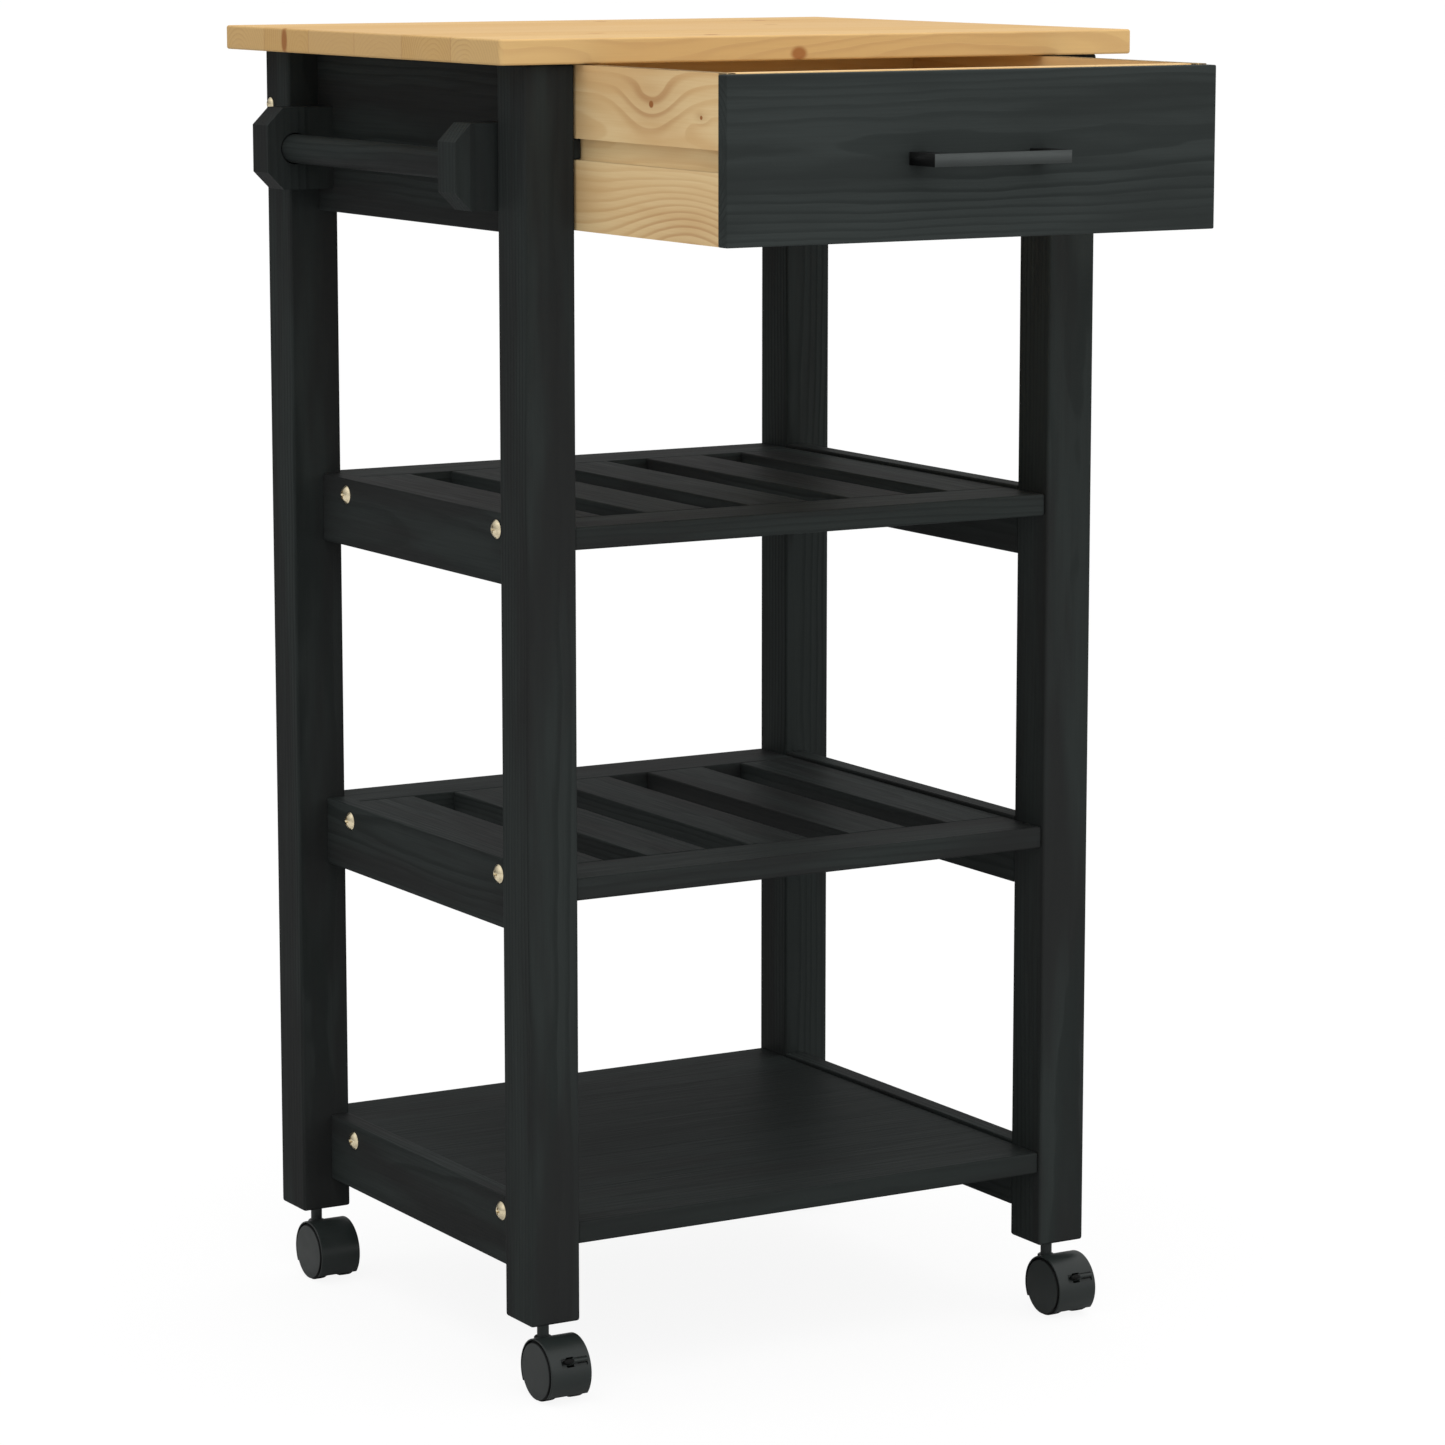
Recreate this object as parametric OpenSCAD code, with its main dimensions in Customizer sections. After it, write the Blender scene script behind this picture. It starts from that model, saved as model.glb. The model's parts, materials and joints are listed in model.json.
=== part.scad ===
// Kitchen island cart on four twin-wheel castors: pine worktop, black-stained frame,
// a drawer drawn part of the way out, two slatted shelves, a solid bottom shelf and a towel bar.
// +Z is up and the drawer faces -Y. The origin is on the floor, below the middle of the box round
// the whole cart, with the towel brackets and the drawn-out drawer's handle counted in.

/* [Overall] */
// Height from the floor to the top of the worktop
overall_h = 900; // [850:1:950]
// Width over the outer faces of the legs
frame_w = 443; // [400:1:520]
// Depth over the outer faces of the legs
frame_d = 383.5; // [360:0.5:450]
// Height of the leg bottoms above the floor
castor_h = 50.5; // [49:0.5:54]

/* [Worktop] */
// Thickness of the worktop
top_t = 16.5; // [15:0.5:28]
// How far the worktop reaches past the legs at each side
top_side = 22; // [10:0.5:30]
// How far the worktop reaches past the legs at the front
top_front = 9.5; // [5:0.5:20]
// How far the worktop reaches past the legs at the back
top_back = 18.5; // [5:0.5:30]
// Radius of the worktop's upright corners
top_corner_r = 3; // [1:0.5:8]

/* [Frame] */
// Side of a leg's square section
leg_w = 37; // [34:0.5:45]
// Thickness of the rails and aprons
rail_t = 15; // [12:0.5:16]
// Height of a shelf rail
rail_h = 47.5; // [40:0.5:60]
// Height of the aprons under the worktop
apron_h = 111.5; // [109:0.5:120]
// Height of the lowest rail's bottom edge above the floor
first_rail_z = 72.5; // [65:0.5:90]
// Spacing from one rail to the next one up
shelf_pitch = 233; // [180:1:235]

/* [Shelves] */
// Thickness of the shelf boards
shelf_t = 15; // [12:0.5:18]
// How far the rails stand above the shelf boards
rail_proud = 2.3; // [1:0.1:5]
// How far the shelf boards lie behind the legs' front faces
shelf_inset = 2.5; // [0:0.5:6]
// Width of a slat and of the cross boards at its ends
slat_w = 48; // [40:0.5:60]
// Number of slats in a slatted shelf
slat_count = 5; // [4:1:6]

/* [Towel holder] */
// How far a towel bracket reaches out from the side apron
bracket_reach = 50; // [42:0.5:60]
// Height of a towel bracket
bracket_h = 56.5; // [48:0.5:70]
// Thickness of a towel bracket along the cart's depth
bracket_t = 24; // [18:0.5:24]
// Size of the brackets' bevelled corners
bracket_bevel = 12; // [6:0.5:14]
// Diameter of the towel bar
bar_d = 20; // [16:0.5:20]
// Distance from the side apron to the bar's axis
bar_out = 29; // [24:0.5:30]

/* [Drawer] */
// How far the drawer is drawn out from its closed place
drawer_open = 182.5; // [0:0.5:230]
// How far the closed drawer front lies behind the worktop's front edge
front_set_back = 1.5; // [0.5:0.5:4]
// Thickness of the black drawer front
front_t = 10.5; // [9:0.5:16]
// Gap between the drawer front and each leg
front_gap = 0.9; // [0.5:0.1:2]
// Height of the drawer front
front_h = 105.5; // [90:0.5:105.5]
// Height of the drawer box
box_h = 106; // [90:0.5:106]
// Length of the drawer box behind the front
box_l = 344; // [280:1:345]
// Thickness of the drawer box's boards
box_t = 12; // [11:0.5:14]
// Length of the handle
handle_l = 102.5; // [80:0.5:130]
// Reach of the handle out of the drawer front
handle_reach = 29.5; // [24:0.5:35]
// How far the handle lies below the middle of the drawer front
handle_drop = 1.3; // [-20:0.1:20]

/* [Castors] */
// Radius of a castor wheel
wheel_r = 20.3; // [19:0.1:21]
// Distance from the swivel axis to the wheels' axle
trail = 18.2; // [17:0.1:19]
// Half the width of a castor's hood
hood_half_w = 15.2; // [15:0.1:18]

/* [Hidden] */
$fn = 64;

LEFT = -1;
RIGHT = 1;
FRONT = -1;
BACK = 1;
// Cuts run this far past the face that they open
cut = 1;
// Gap round every dowel and screw in its hole
fit_gap = 0.05;

black_stain = [0.075, 0.078, 0.075];
pine = [0.86, 0.66, 0.42];
zinc_yellow = [0.80, 0.70, 0.45];
steel = [0.62, 0.63, 0.65];
nylon_black = [0.06, 0.06, 0.065];
metal_black = [0.10, 0.11, 0.11];

// Frame, worked out from the driving dimensions
leg_x = (frame_w - leg_w) / 2;
leg_y = (frame_d - leg_w) / 2;
inner_half_w = frame_w / 2 - leg_w;
rail_mid_x = inner_half_w + rail_t / 2;
rail_out_x = inner_half_w + rail_t;
rail_l = frame_d - 2 * leg_w;
rail_end_y = rail_l / 2;
frame_top_z = overall_h - top_t;
leg_h = frame_top_z - castor_h;
apron_z = frame_top_z - apron_h;
upper_level = 2;
back_apron_y = frame_d / 2 - rail_t / 2;

// Shelves
shelf_half_d = frame_d / 2 - shelf_inset;
slat_l = 2 * (shelf_half_d - slat_w);
slat_pitch = (2 * inner_half_w - slat_w) / (slat_count - 1);
tenon_l = 12;
tenon_t = 6;
tenon_shoulder = 6;
tenon_w = slat_w - 2 * tenon_shoulder;
shelf_screw_y = [-108.5, 116.5];
shelf_screw_drop = 11;

// Dowels
dowel_r = 4;
dowel_l = 30;
// A dowel's hole has this many times more room at its ends than round its sides
end_room = 10;
rail_dowel_spread = 24;
apron_dowel_spread = 42;
top_dowel_up = 10;
top_dowel_side_y = 110;
top_dowel_back_x = 120;

// Towel holder
bracket_down = 95;
bracket_z = frame_top_z - bracket_down;
bracket_mid_z = bracket_z + bracket_h / 2;
bracket_gap = 5;
bracket_front_y = -rail_end_y + bracket_gap;
bracket_back_y = rail_end_y - bracket_t;
bar_end_gap = 4;
bracket_screw_in = 5.25;

// Drawer
runner_t = 6;
runner_h = 13.2;
groove_h = 13.8;
groove_depth = 5.5;
side_gap = 1.5;
box_half_w = inner_half_w - side_gap;
top_clearance = 0.7;
box_z = frame_top_z - top_clearance - box_h;
groove_up = 45.2;
groove_z = box_z + groove_up;
runner_z = groove_z + (groove_h - runner_h) / 2;
front_drop = 0.2;
front_z = box_z - front_drop;
front_half_w = inner_half_w - front_gap;
closed_front_y = -frame_d / 2 - top_front + front_set_back;
front_y = closed_front_y - drawer_open;
runner_front_gap = 0.5;
runner_back_gap = 8;
runner_y = closed_front_y + front_t + runner_front_gap;
runner_l = frame_d / 2 - rail_t - runner_back_gap - runner_y;
box_y = front_y + front_t;
bottom_t = 3.5;
bottom_groove = 4;
bottom_z = 8;
handle_h = 8.2;
handle_bar_t = 5;
handle_foot_w = 12;
handle_mid_z = front_z + front_h / 2 - handle_drop;

// Screws
shelf_head_r = 6.4;
shelf_head_h = 3.4;
shelf_shank_r = 2;
shelf_shank_l = 38;
apron_head_r = 4.6;
apron_head_h = 2.6;
apron_shank_r = 2.5;
apron_shank_l = 62;
apron_screw_z = [38, 73.5];
runner_screw_r = 1.5;
runner_screw_l = 17;
runner_screw_y = [-180, -30, 120];
bracket_screw_r = 2;
bracket_screw_l = 35;
bracket_screw_spread = bracket_h - 2 * bracket_screw_in;
front_screw_r = 1.75;
front_screw_l = 19;
front_screw_x = 130;
front_screw_spread = 60;
handle_head_r = 4;
handle_head_h = 2.2;
handle_screw_r = 2;
handle_screw_l = 34;
recess_w = 1.3;
// Half the length of the cross recess and its depth, as parts of the head's radius and height
recess_reach = 0.45;
recess_floor = 0.45;

// Where the middle of the frame stands in the overall box
left_reach = max(rail_out_x + bracket_reach, frame_w / 2 + top_side);
frame_x = (left_reach - frame_w / 2 - top_side) / 2;
frame_y = (handle_reach - front_y - frame_d / 2 - top_back) / 2;

// Castors
stem_r = 4;
stem_run = 0.06;
socket_r = 5.5;
socket_l = 34;
socket_flange_r = 8;
socket_flange_t = 1.2;
socket_end_gap = 2;
stem_low_z = 12;
stem_in_leg = 30;
stem_high_z = castor_h + stem_in_leg;
// Gap between the stem's end and the bottom of its bore
stem_end_gap = 0.1;
hood_bay_gap = 0.7;
hood_wall_t = 1.1;
hood_bay_r = wheel_r + hood_bay_gap;
hood_r = hood_bay_r + hood_wall_t;
// The hood's lower edge lies this far below the axle and rises this steeply towards the stem
hood_skirt = 12.8;
hood_tilt = 7;
web_half_w = 5.7;
web_top_z = 32;
hood_low_z = 10;
boss_r = 6.6;
boss_low_z = 31;
boss_top_z = 38.2;
axle_boss_r = 8;
axle_r = 2;
axle_half_l = 12.6;
wheel_in = 6.2;
// How far a wheel's outer face stands out of the hood
wheel_proud = 0.8;
wheel_w = hood_half_w + wheel_proud - wheel_in;
wheel_edge_r = 2.4;
wheel_bevel = 0.8;
wheel_hub_r = 4.6;
wheel_rim_w = 4.5;
wheel_hollow = 5;
wheel_face_t = 1.8;

// Brake levers
lever_angle = 26;
lever_from_x = -6;
lever_to_x = 12;
lever_out_r = 25.2;
lever_tab_w = 3.4;
lever_t = 3.6;
lever_arm_w = 4.6;
lever_hub_r = 2.4;
lever_pivot_r = 15.5;
lever_pin_r = 1.2;
lever_pin_l = 9.2;
// Room that the hood leaves beside the lever, above it, and below it for its stroke
lever_side_gap = 0.5;
lever_room_up = 1.3;
lever_room_down = 2;
lever_room_r = 12;
// The shallow seat in the hood's rim that lets the tab go down
lever_seat = 1.2;
lever_seat_gap = 0.7;
lever_seat_down = 1.8;
lever_seat_up = 0.6;

// ---------------------------------------------------------------- helpers

// Moves the frame's middle to its place beside the origin
module placed() {
    translate([frame_x, frame_y, 0]) children();
}

// A box with its middle at x and y and its underside at z
module block(x, y, z, size) {
    translate([x - size[0] / 2, y - size[1] / 2, z]) cube(size);
}

// A round bar along X, from x towards x + l
module rod_x(x, y, z, r, l) {
    translate([x, y, z]) rotate([0, 90, 0]) cylinder(r = r, h = l);
}

// A round bar along Y, from y towards y + l
module rod_y(x, y, z, r, l) {
    translate([x, y, z]) rotate([-90, 0, 0]) cylinder(r = r, h = l);
}

// A domed, cross-recessed screw head on the plane z = 0, with its shank going down
module domed_screw(head_r, head_h, shank_r, shank_l) {
    dome_r = (head_r * head_r + head_h * head_h) / (2 * head_h);
    difference() {
        union() {
            intersection() {
                translate([0, 0, head_h - dome_r]) sphere(r = dome_r);
                cylinder(r = head_r, h = head_h);
            }
            translate([0, 0, -shank_l]) cylinder(r = shank_r, h = shank_l + head_h / 4);
        }
        for (turn = [0, 90]) rotate(turn) {
            translate([-head_r * recess_reach, -recess_w / 2, head_h * recess_floor]) {
                cube([2 * head_r * recess_reach, recess_w, head_h]);
            }
        }
    }
}

// A countersunk wood screw whose head is flush with z = 0 and whose point is down
module countersunk_screw(r, l) {
    head_r = 2 * r;
    head_h = r;
    translate([0, 0, -head_h]) cylinder(r1 = r, r2 = head_r, h = head_h);
    translate([0, 0, -l]) cylinder(r = r, h = l - head_h);
}

// The hole that such a screw lies in
module countersunk_hole(r, l) {
    wide = 2 * r + fit_gap;
    translate([0, 0, -r]) cylinder(r1 = r + fit_gap, r2 = wide, h = r);
    cylinder(r = wide, h = cut);
    translate([0, 0, -l - cut]) cylinder(r = r + fit_gap, h = l + cut);
}

function rail_z(level) = first_rail_z + level * shelf_pitch;
function shelf_top_z(level) = rail_z(level) + rail_h - rail_proud;
function rail_mid_z(level) = rail_z(level) + rail_h / 2;
function rail_dowel_z(level) = [for (side = [-1, 1]) rail_mid_z(level) + side * rail_dowel_spread / 2];
function apron_dowel_z() = [for (step = [-1, 0, 1]) apron_z + apron_h / 2 + step * apron_dowel_spread];
function all_dowel_z() = concat(rail_dowel_z(0), rail_dowel_z(1), rail_dowel_z(upper_level), apron_dowel_z());

// ---------------------------------------------------------------- fasteners

// The dowels between legs and rails, grown by gap to make their holes
module side_dowels(gap = 0) {
    for (sx = [LEFT, RIGHT], sy = [FRONT, BACK], z = all_dowel_z()) {
        y = sy * rail_end_y - dowel_l / 2 - gap * end_room;
        rod_y(sx * rail_mid_x, y, z, dowel_r + gap, dowel_l + 2 * gap * end_room);
    }
}

// The upright dowels that hold the worktop down
module top_dowels(gap = 0) {
    spots = concat(
        [for (sx = [LEFT, RIGHT], sy = [FRONT, BACK]) [sx * rail_mid_x, sy * top_dowel_side_y]],
        [for (sx = [LEFT, RIGHT], sy = [FRONT, BACK]) [sx * leg_x, sy * leg_y]],
        [for (sx = [LEFT, RIGHT]) [sx * top_dowel_back_x, back_apron_y]]
    );
    for (spot = spots) {
        translate([spot[0], spot[1], frame_top_z + top_dowel_up - dowel_l - gap * end_room]) {
            cylinder(r = dowel_r + gap, h = dowel_l + 2 * gap * end_room);
        }
    }
}

module frame_dowels() color(pine) {
    side_dowels();
    top_dowels();
}

// Places its children on each rail's outer face, pointing outwards along their +Z
module at_shelf_screws() {
    for (level = [0 : upper_level], sx = [LEFT, RIGHT], y = shelf_screw_y) {
        translate([sx * rail_out_x, y, rail_z(level) + rail_h - shelf_screw_drop]) {
            rotate([0, sx * 90, 0]) children();
        }
    }
}

module shelf_screws() color(zinc_yellow) {
    at_shelf_screws() domed_screw(shelf_head_r, shelf_head_h, shelf_shank_r, shelf_shank_l);
}

module shelf_screw_holes() {
    at_shelf_screws() translate([0, 0, -shelf_shank_l - cut]) {
        cylinder(r = shelf_shank_r + fit_gap, h = shelf_shank_l + 2 * cut);
    }
}

// Places its children on the back legs' outer faces, pointing outwards along their +Z
module at_apron_screws() {
    for (sx = [LEFT, RIGHT], z = apron_screw_z) {
        translate([sx * frame_w / 2, back_apron_y, frame_top_z - z]) rotate([0, sx * 90, 0]) children();
    }
}

module back_apron_screws() color(zinc_yellow) {
    at_apron_screws() domed_screw(apron_head_r, apron_head_h, apron_shank_r, apron_shank_l);
}

module apron_screw_holes() {
    at_apron_screws() translate([0, 0, -apron_shank_l - cut]) {
        cylinder(r = apron_shank_r + fit_gap, h = apron_shank_l + 2 * cut);
    }
}

// The screws through the runners into the aprons and legs, pointing outwards
module at_runner_screws() {
    for (sx = [LEFT, RIGHT], y = runner_screw_y) {
        translate([sx * (inner_half_w - runner_t), y, groove_z + groove_h / 2]) {
            rotate([0, -sx * 90, 0]) children();
        }
    }
}

// The screws through the left apron into the towel brackets
module at_bracket_screws() {
    for (y = [bracket_front_y, bracket_back_y], side = [-1, 1]) {
        z = bracket_mid_z + side * bracket_screw_spread / 2;
        translate([-inner_half_w, y + bracket_t / 2, z]) rotate([0, 90, 0]) children();
    }
}

module wood_screws() color(steel) {
    at_runner_screws() countersunk_screw(runner_screw_r, runner_screw_l);
    at_bracket_screws() countersunk_screw(bracket_screw_r, bracket_screw_l);
}

module wood_screw_holes() {
    at_runner_screws() countersunk_hole(runner_screw_r, runner_screw_l);
    at_bracket_screws() countersunk_hole(bracket_screw_r, bracket_screw_l);
}

// ---------------------------------------------------------------- worktop and frame

module worktop() color(pine) {
    w = frame_w + 2 * top_side;
    d = frame_d + top_front + top_back;
    y_mid = (top_back - top_front) / 2;
    difference() {
        translate([0, y_mid, frame_top_z]) linear_extrude(top_t) {
            square([w - 2 * top_corner_r, d], center = true);
            square([w, d - 2 * top_corner_r], center = true);
            for (sx = [LEFT, RIGHT], sy = [FRONT, BACK]) {
                corner = [sx * (w / 2 - top_corner_r), sy * (d / 2 - top_corner_r)];
                translate(corner) circle(r = top_corner_r);
            }
        }
        top_dowels(fit_gap);
    }
}

module leg(sx, sy) color(black_stain) {
    difference() {
        block(sx * leg_x, sy * leg_y, castor_h, [leg_w, leg_w, leg_h]);
        side_dowels(fit_gap);
        top_dowels(fit_gap);
        if (sy == BACK) apron_screw_holes();
        wood_screw_holes();
        translate([sx * leg_x, sy * leg_y, castor_h - cut]) {
            cylinder(r = socket_r + fit_gap, h = socket_l + cut + socket_end_gap);
            cylinder(r = socket_flange_r + fit_gap, h = socket_flange_t + cut);
        }
    }
}

module side_apron(sx) color(black_stain) {
    difference() {
        block(sx * rail_mid_x, 0, apron_z, [rail_t, rail_l, apron_h]);
        side_dowels(fit_gap);
        top_dowels(fit_gap);
        wood_screw_holes();
    }
}

module back_apron() color(black_stain) {
    difference() {
        block(0, back_apron_y, apron_z, [2 * inner_half_w, rail_t, apron_h]);
        apron_screw_holes();
        top_dowels(fit_gap);
    }
}

module rail(sx, level) color(black_stain) {
    difference() {
        block(sx * rail_mid_x, 0, rail_z(level), [rail_t, rail_l, rail_h]);
        side_dowels(fit_gap);
        shelf_screw_holes();
    }
}

// ---------------------------------------------------------------- shelves

// The tenons at both ends of every slat, grown by gap to make their mortises
module tenons(level, gap = 0) {
    for (i = [0 : slat_count - 1], sy = [FRONT, BACK]) {
        x = -inner_half_w + slat_w / 2 + i * slat_pitch;
        y = sy * (slat_l / 2 + tenon_l / 2 + gap);
        z = shelf_top_z(level) - shelf_t / 2 - tenon_t / 2 - gap;
        block(x, y, z, [tenon_w + 2 * gap, tenon_l + 4 * gap, tenon_t + 2 * gap]);
    }
}

module shelf_cross_board(level, sy) color(black_stain) {
    z = shelf_top_z(level) - shelf_t;
    difference() {
        block(0, sy * (shelf_half_d - slat_w / 2), z, [2 * inner_half_w, slat_w, shelf_t]);
        tenons(level, fit_gap);
    }
}

module shelf_slats(level) color(black_stain) {
    z = shelf_top_z(level) - shelf_t;
    difference() {
        union() {
            for (i = [0 : slat_count - 1]) {
                block(-inner_half_w + slat_w / 2 + i * slat_pitch, 0, z, [slat_w, slat_l, shelf_t]);
            }
            tenons(level);
        }
        shelf_screw_holes();
    }
}

module bottom_shelf() color(black_stain) {
    difference() {
        block(0, 0, shelf_top_z(0) - shelf_t, [2 * inner_half_w, 2 * shelf_half_d, shelf_t]);
        shelf_screw_holes();
    }
}

// ---------------------------------------------------------------- towel holder

module towel_bracket(y_start) color(black_stain) {
    b = bracket_bevel;
    difference() {
        translate([-rail_out_x, y_start + bracket_t, bracket_z]) rotate([90, 0, 0]) {
            linear_extrude(bracket_t) polygon([
                [0, 0], [0, bracket_h],
                [-bracket_reach + b, bracket_h], [-bracket_reach, bracket_h - b],
                [-bracket_reach, b], [-bracket_reach + b, 0]
            ]);
        }
        towel_bar_shape(fit_gap);
        wood_screw_holes();
    }
}

module towel_bar_shape(gap = 0) {
    start = bracket_front_y + bar_end_gap - gap;
    stop = bracket_back_y + bracket_t - bar_end_gap + gap;
    rod_y(-rail_out_x - bar_out, start, bracket_mid_z, bar_d / 2 + gap, stop - start);
}

module towel_bar() color(black_stain) towel_bar_shape();

// ---------------------------------------------------------------- drawer

module drawer_runner(sx) color(black_stain) {
    x = sx * (inner_half_w - runner_t / 2);
    difference() {
        block(x, runner_y + runner_l / 2, runner_z, [runner_t, runner_l, runner_h]);
        wood_screw_holes();
    }
}

// The sheet that closes the box's underside, grown by gap to make the grooves that hold it
module bottom_sheet(gap = 0) {
    w = 2 * (box_half_w - box_t + bottom_groove) + 2 * gap;
    l = box_l - 2 * (box_t - bottom_groove) + 2 * gap;
    block(0, box_y + box_l / 2, box_z + bottom_z - gap, [w, l, bottom_t + 2 * gap]);
}

module drawer_side(sx) color(pine) {
    difference() {
        block(sx * (box_half_w - box_t / 2), box_y + box_l / 2, box_z, [box_t, box_l, box_h]);
        block(sx * box_half_w, box_y + box_l / 2, groove_z, [2 * groove_depth, box_l + 2 * cut, groove_h]);
        bottom_sheet(fit_gap);
    }
}

module drawer_end(y) color(pine) {
    difference() {
        block(0, y, box_z, [2 * (box_half_w - box_t), box_t, box_h]);
        bottom_sheet(fit_gap);
        drawer_screw_holes();
    }
}

module drawer_inner_front() drawer_end(box_y + box_t / 2);

module drawer_back() drawer_end(box_y + box_l - box_t / 2);

module drawer_bottom() color(pine) bottom_sheet();

module drawer_front() color(black_stain) {
    difference() {
        block(0, front_y + front_t / 2, front_z, [2 * front_half_w, front_t, front_h]);
        drawer_screw_holes();
    }
}

module drawer_handle() color(metal_black) {
    bar_back_y = front_y - handle_reach + handle_bar_t;
    difference() {
        block(0, front_y - handle_reach / 2, handle_mid_z - handle_h / 2, [handle_l, handle_reach, handle_h]);
        translate([-handle_l / 2 + handle_foot_w, bar_back_y, handle_mid_z - handle_h]) {
            cube([handle_l - 2 * handle_foot_w, handle_reach, 2 * handle_h]);
        }
        drawer_screw_holes();
    }
}

// Places its children on the inner front's back face, pointing towards the back
module at_front_screws() {
    for (sx = [LEFT, RIGHT], side = [-1, 1]) {
        z = handle_mid_z + side * front_screw_spread / 2;
        translate([sx * front_screw_x, box_y + box_t, z]) rotate([-90, 0, 0]) children();
    }
}

module at_handle_screws() {
    for (sx = [LEFT, RIGHT]) {
        x = sx * (handle_l - handle_foot_w) / 2;
        translate([x, box_y + box_t, handle_mid_z]) rotate([-90, 0, 0]) children();
    }
}

module drawer_front_screws() color(steel) {
    at_front_screws() countersunk_screw(front_screw_r, front_screw_l);
}

module handle_screws() color(steel) {
    at_handle_screws() domed_screw(handle_head_r, handle_head_h, handle_screw_r, handle_screw_l);
}

module drawer_screw_holes() {
    at_front_screws() countersunk_hole(front_screw_r, front_screw_l);
    at_handle_screws() translate([0, 0, -handle_screw_l - cut]) {
        cylinder(r = handle_screw_r + fit_gap, h = handle_screw_l + 2 * cut);
    }
}

// ---------------------------------------------------------------- castors

// Places its children at each leg's middle, on the floor
module at_legs() {
    for (sx = [LEFT, RIGHT], sy = [FRONT, BACK]) translate([sx * leg_x, sy * leg_y, 0]) children();
}

module castor_sockets() color(steel) at_legs() {
    difference() {
        translate([0, 0, castor_h]) {
            cylinder(r = socket_r, h = socket_l);
            cylinder(r = socket_flange_r, h = socket_flange_t);
        }
        translate([0, 0, castor_h - cut]) cylinder(r = stem_r + fit_gap, h = socket_l + 2 * cut);
    }
}

module castor_stems() color(metal_black) at_legs() {
    translate([0, 0, stem_low_z]) cylinder(r = stem_r, h = stem_high_z - stem_low_z);
}

// A disc about the axle, down to the hood's lower edge
module covered_disc(r, half_w) {
    intersection() {
        rod_x(-half_w, 0, 0, r, 2 * half_w);
        rotate([hood_tilt, 0, 0]) translate([-half_w, -2 * r, -hood_skirt]) cube([2 * half_w, 4 * r, 4 * r]);
    }
}

module hood(sx, sy, brake) color(nylon_black) translate([sx * leg_x, sy * leg_y, 0]) {
    difference() {
        union() {
            translate([0, -trail, wheel_r]) {
                covered_disc(hood_r, hood_half_w);
                rod_x(-web_half_w, 0, 0, axle_boss_r, 2 * web_half_w);
            }
            block(0, -trail / 2, hood_low_z, [2 * web_half_w, trail, web_top_z - hood_low_z]);
            translate([0, 0, hood_low_z]) cylinder(r = web_half_w, h = boss_top_z - hood_low_z);
            translate([0, 0, boss_low_z]) cylinder(r = boss_r, h = boss_top_z - boss_low_z);
        }
        translate([0, -trail, wheel_r]) {
            bay_w = hood_half_w - web_half_w + cut;
            for (x = [-hood_half_w - cut, web_half_w]) rod_x(x, 0, 0, hood_bay_r, bay_w);
            rod_x(-hood_half_w, 0, 0, axle_r + fit_gap, 2 * hood_half_w);
            if (brake) lever_room();
        }
        translate([0, 0, stem_low_z - stem_end_gap]) cylinder(r = stem_r + stem_run, h = castor_h);
    }
}

module axle(sx, sy) color(steel) {
    rod_x(sx * leg_x - axle_half_l, sy * leg_y - trail, wheel_r, axle_r, 2 * axle_half_l);
}

// A hollow wheel with a closed outer face, revolved about its axle
module wheel(sx, sy, side) color(nylon_black) {
    e = wheel_edge_r;
    bore_r = axle_r + stem_run;
    rim_r = wheel_r - wheel_rim_w;
    edge = [for (a = [0 : 15 : 90]) [wheel_r - e + e * cos(a), wheel_w - e + e * sin(a)]];
    outline = concat(
        [[bore_r, 0], [wheel_hub_r, 0], [wheel_hub_r, wheel_hollow], [rim_r, wheel_hollow], [rim_r, 0],
            [wheel_r - wheel_bevel, 0], [wheel_r, wheel_bevel]],
        edge,
        [[0, wheel_w], [0, wheel_w - wheel_face_t], [bore_r, wheel_w - wheel_face_t]]
    );
    translate([sx * leg_x + side * wheel_in, sy * leg_y - trail, wheel_r]) rotate([0, side * 90, 0]) {
        rotate_extrude() polygon(outline);
    }
}

// Turns its children so that their -Y points out of the hood at the lever
module at_lever() {
    rotate([-lever_angle, 0, 0]) children();
}

// The slot and the pin holes that the brake lever needs in the hood
module lever_room() {
    half_t = lever_t / 2;
    slot_w = lever_arm_w + 2 * lever_side_gap;
    slot_h = lever_t + lever_room_down + lever_room_up;
    seat_w = lever_to_x - lever_from_x + 2 * lever_seat_gap;
    seat_h = lever_t + lever_seat_down + lever_seat_up;
    pin_hole_l = lever_pin_l + 4 * fit_gap;
    at_lever() {
        translate([-slot_w / 2, -hood_r - cut, -half_t - lever_room_down]) {
            cube([slot_w, hood_r + cut - lever_room_r, slot_h]);
        }
        translate([lever_from_x - lever_seat_gap, -hood_r - cut, -half_t - lever_seat_down]) {
            cube([seat_w, lever_seat + cut, seat_h]);
        }
        rod_x(-pin_hole_l / 2, -lever_pivot_r, 0, lever_pin_r + stem_run, pin_hole_l);
    }
}

module brake_lever(sx) color(nylon_black) translate([sx * leg_x, -leg_y - trail, wheel_r]) {
    arm_l = lever_out_r - lever_pivot_r - lever_tab_w / 2;
    at_lever() {
        translate([-lever_arm_w / 2, -lever_pivot_r - arm_l, -lever_t / 2]) {
            cube([lever_arm_w, arm_l, lever_t]);
        }
        rod_x(-lever_arm_w / 2, -lever_pivot_r, 0, lever_hub_r, lever_arm_w);
        rod_x(-lever_pin_l / 2, -lever_pivot_r, 0, lever_pin_r, lever_pin_l);
        translate([lever_from_x, -lever_out_r, -lever_t / 2]) {
            cube([lever_to_x - lever_from_x, lever_tab_w, lever_t]);
        }
    }
}

// ---------------------------------------------------------------- the nodes

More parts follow.
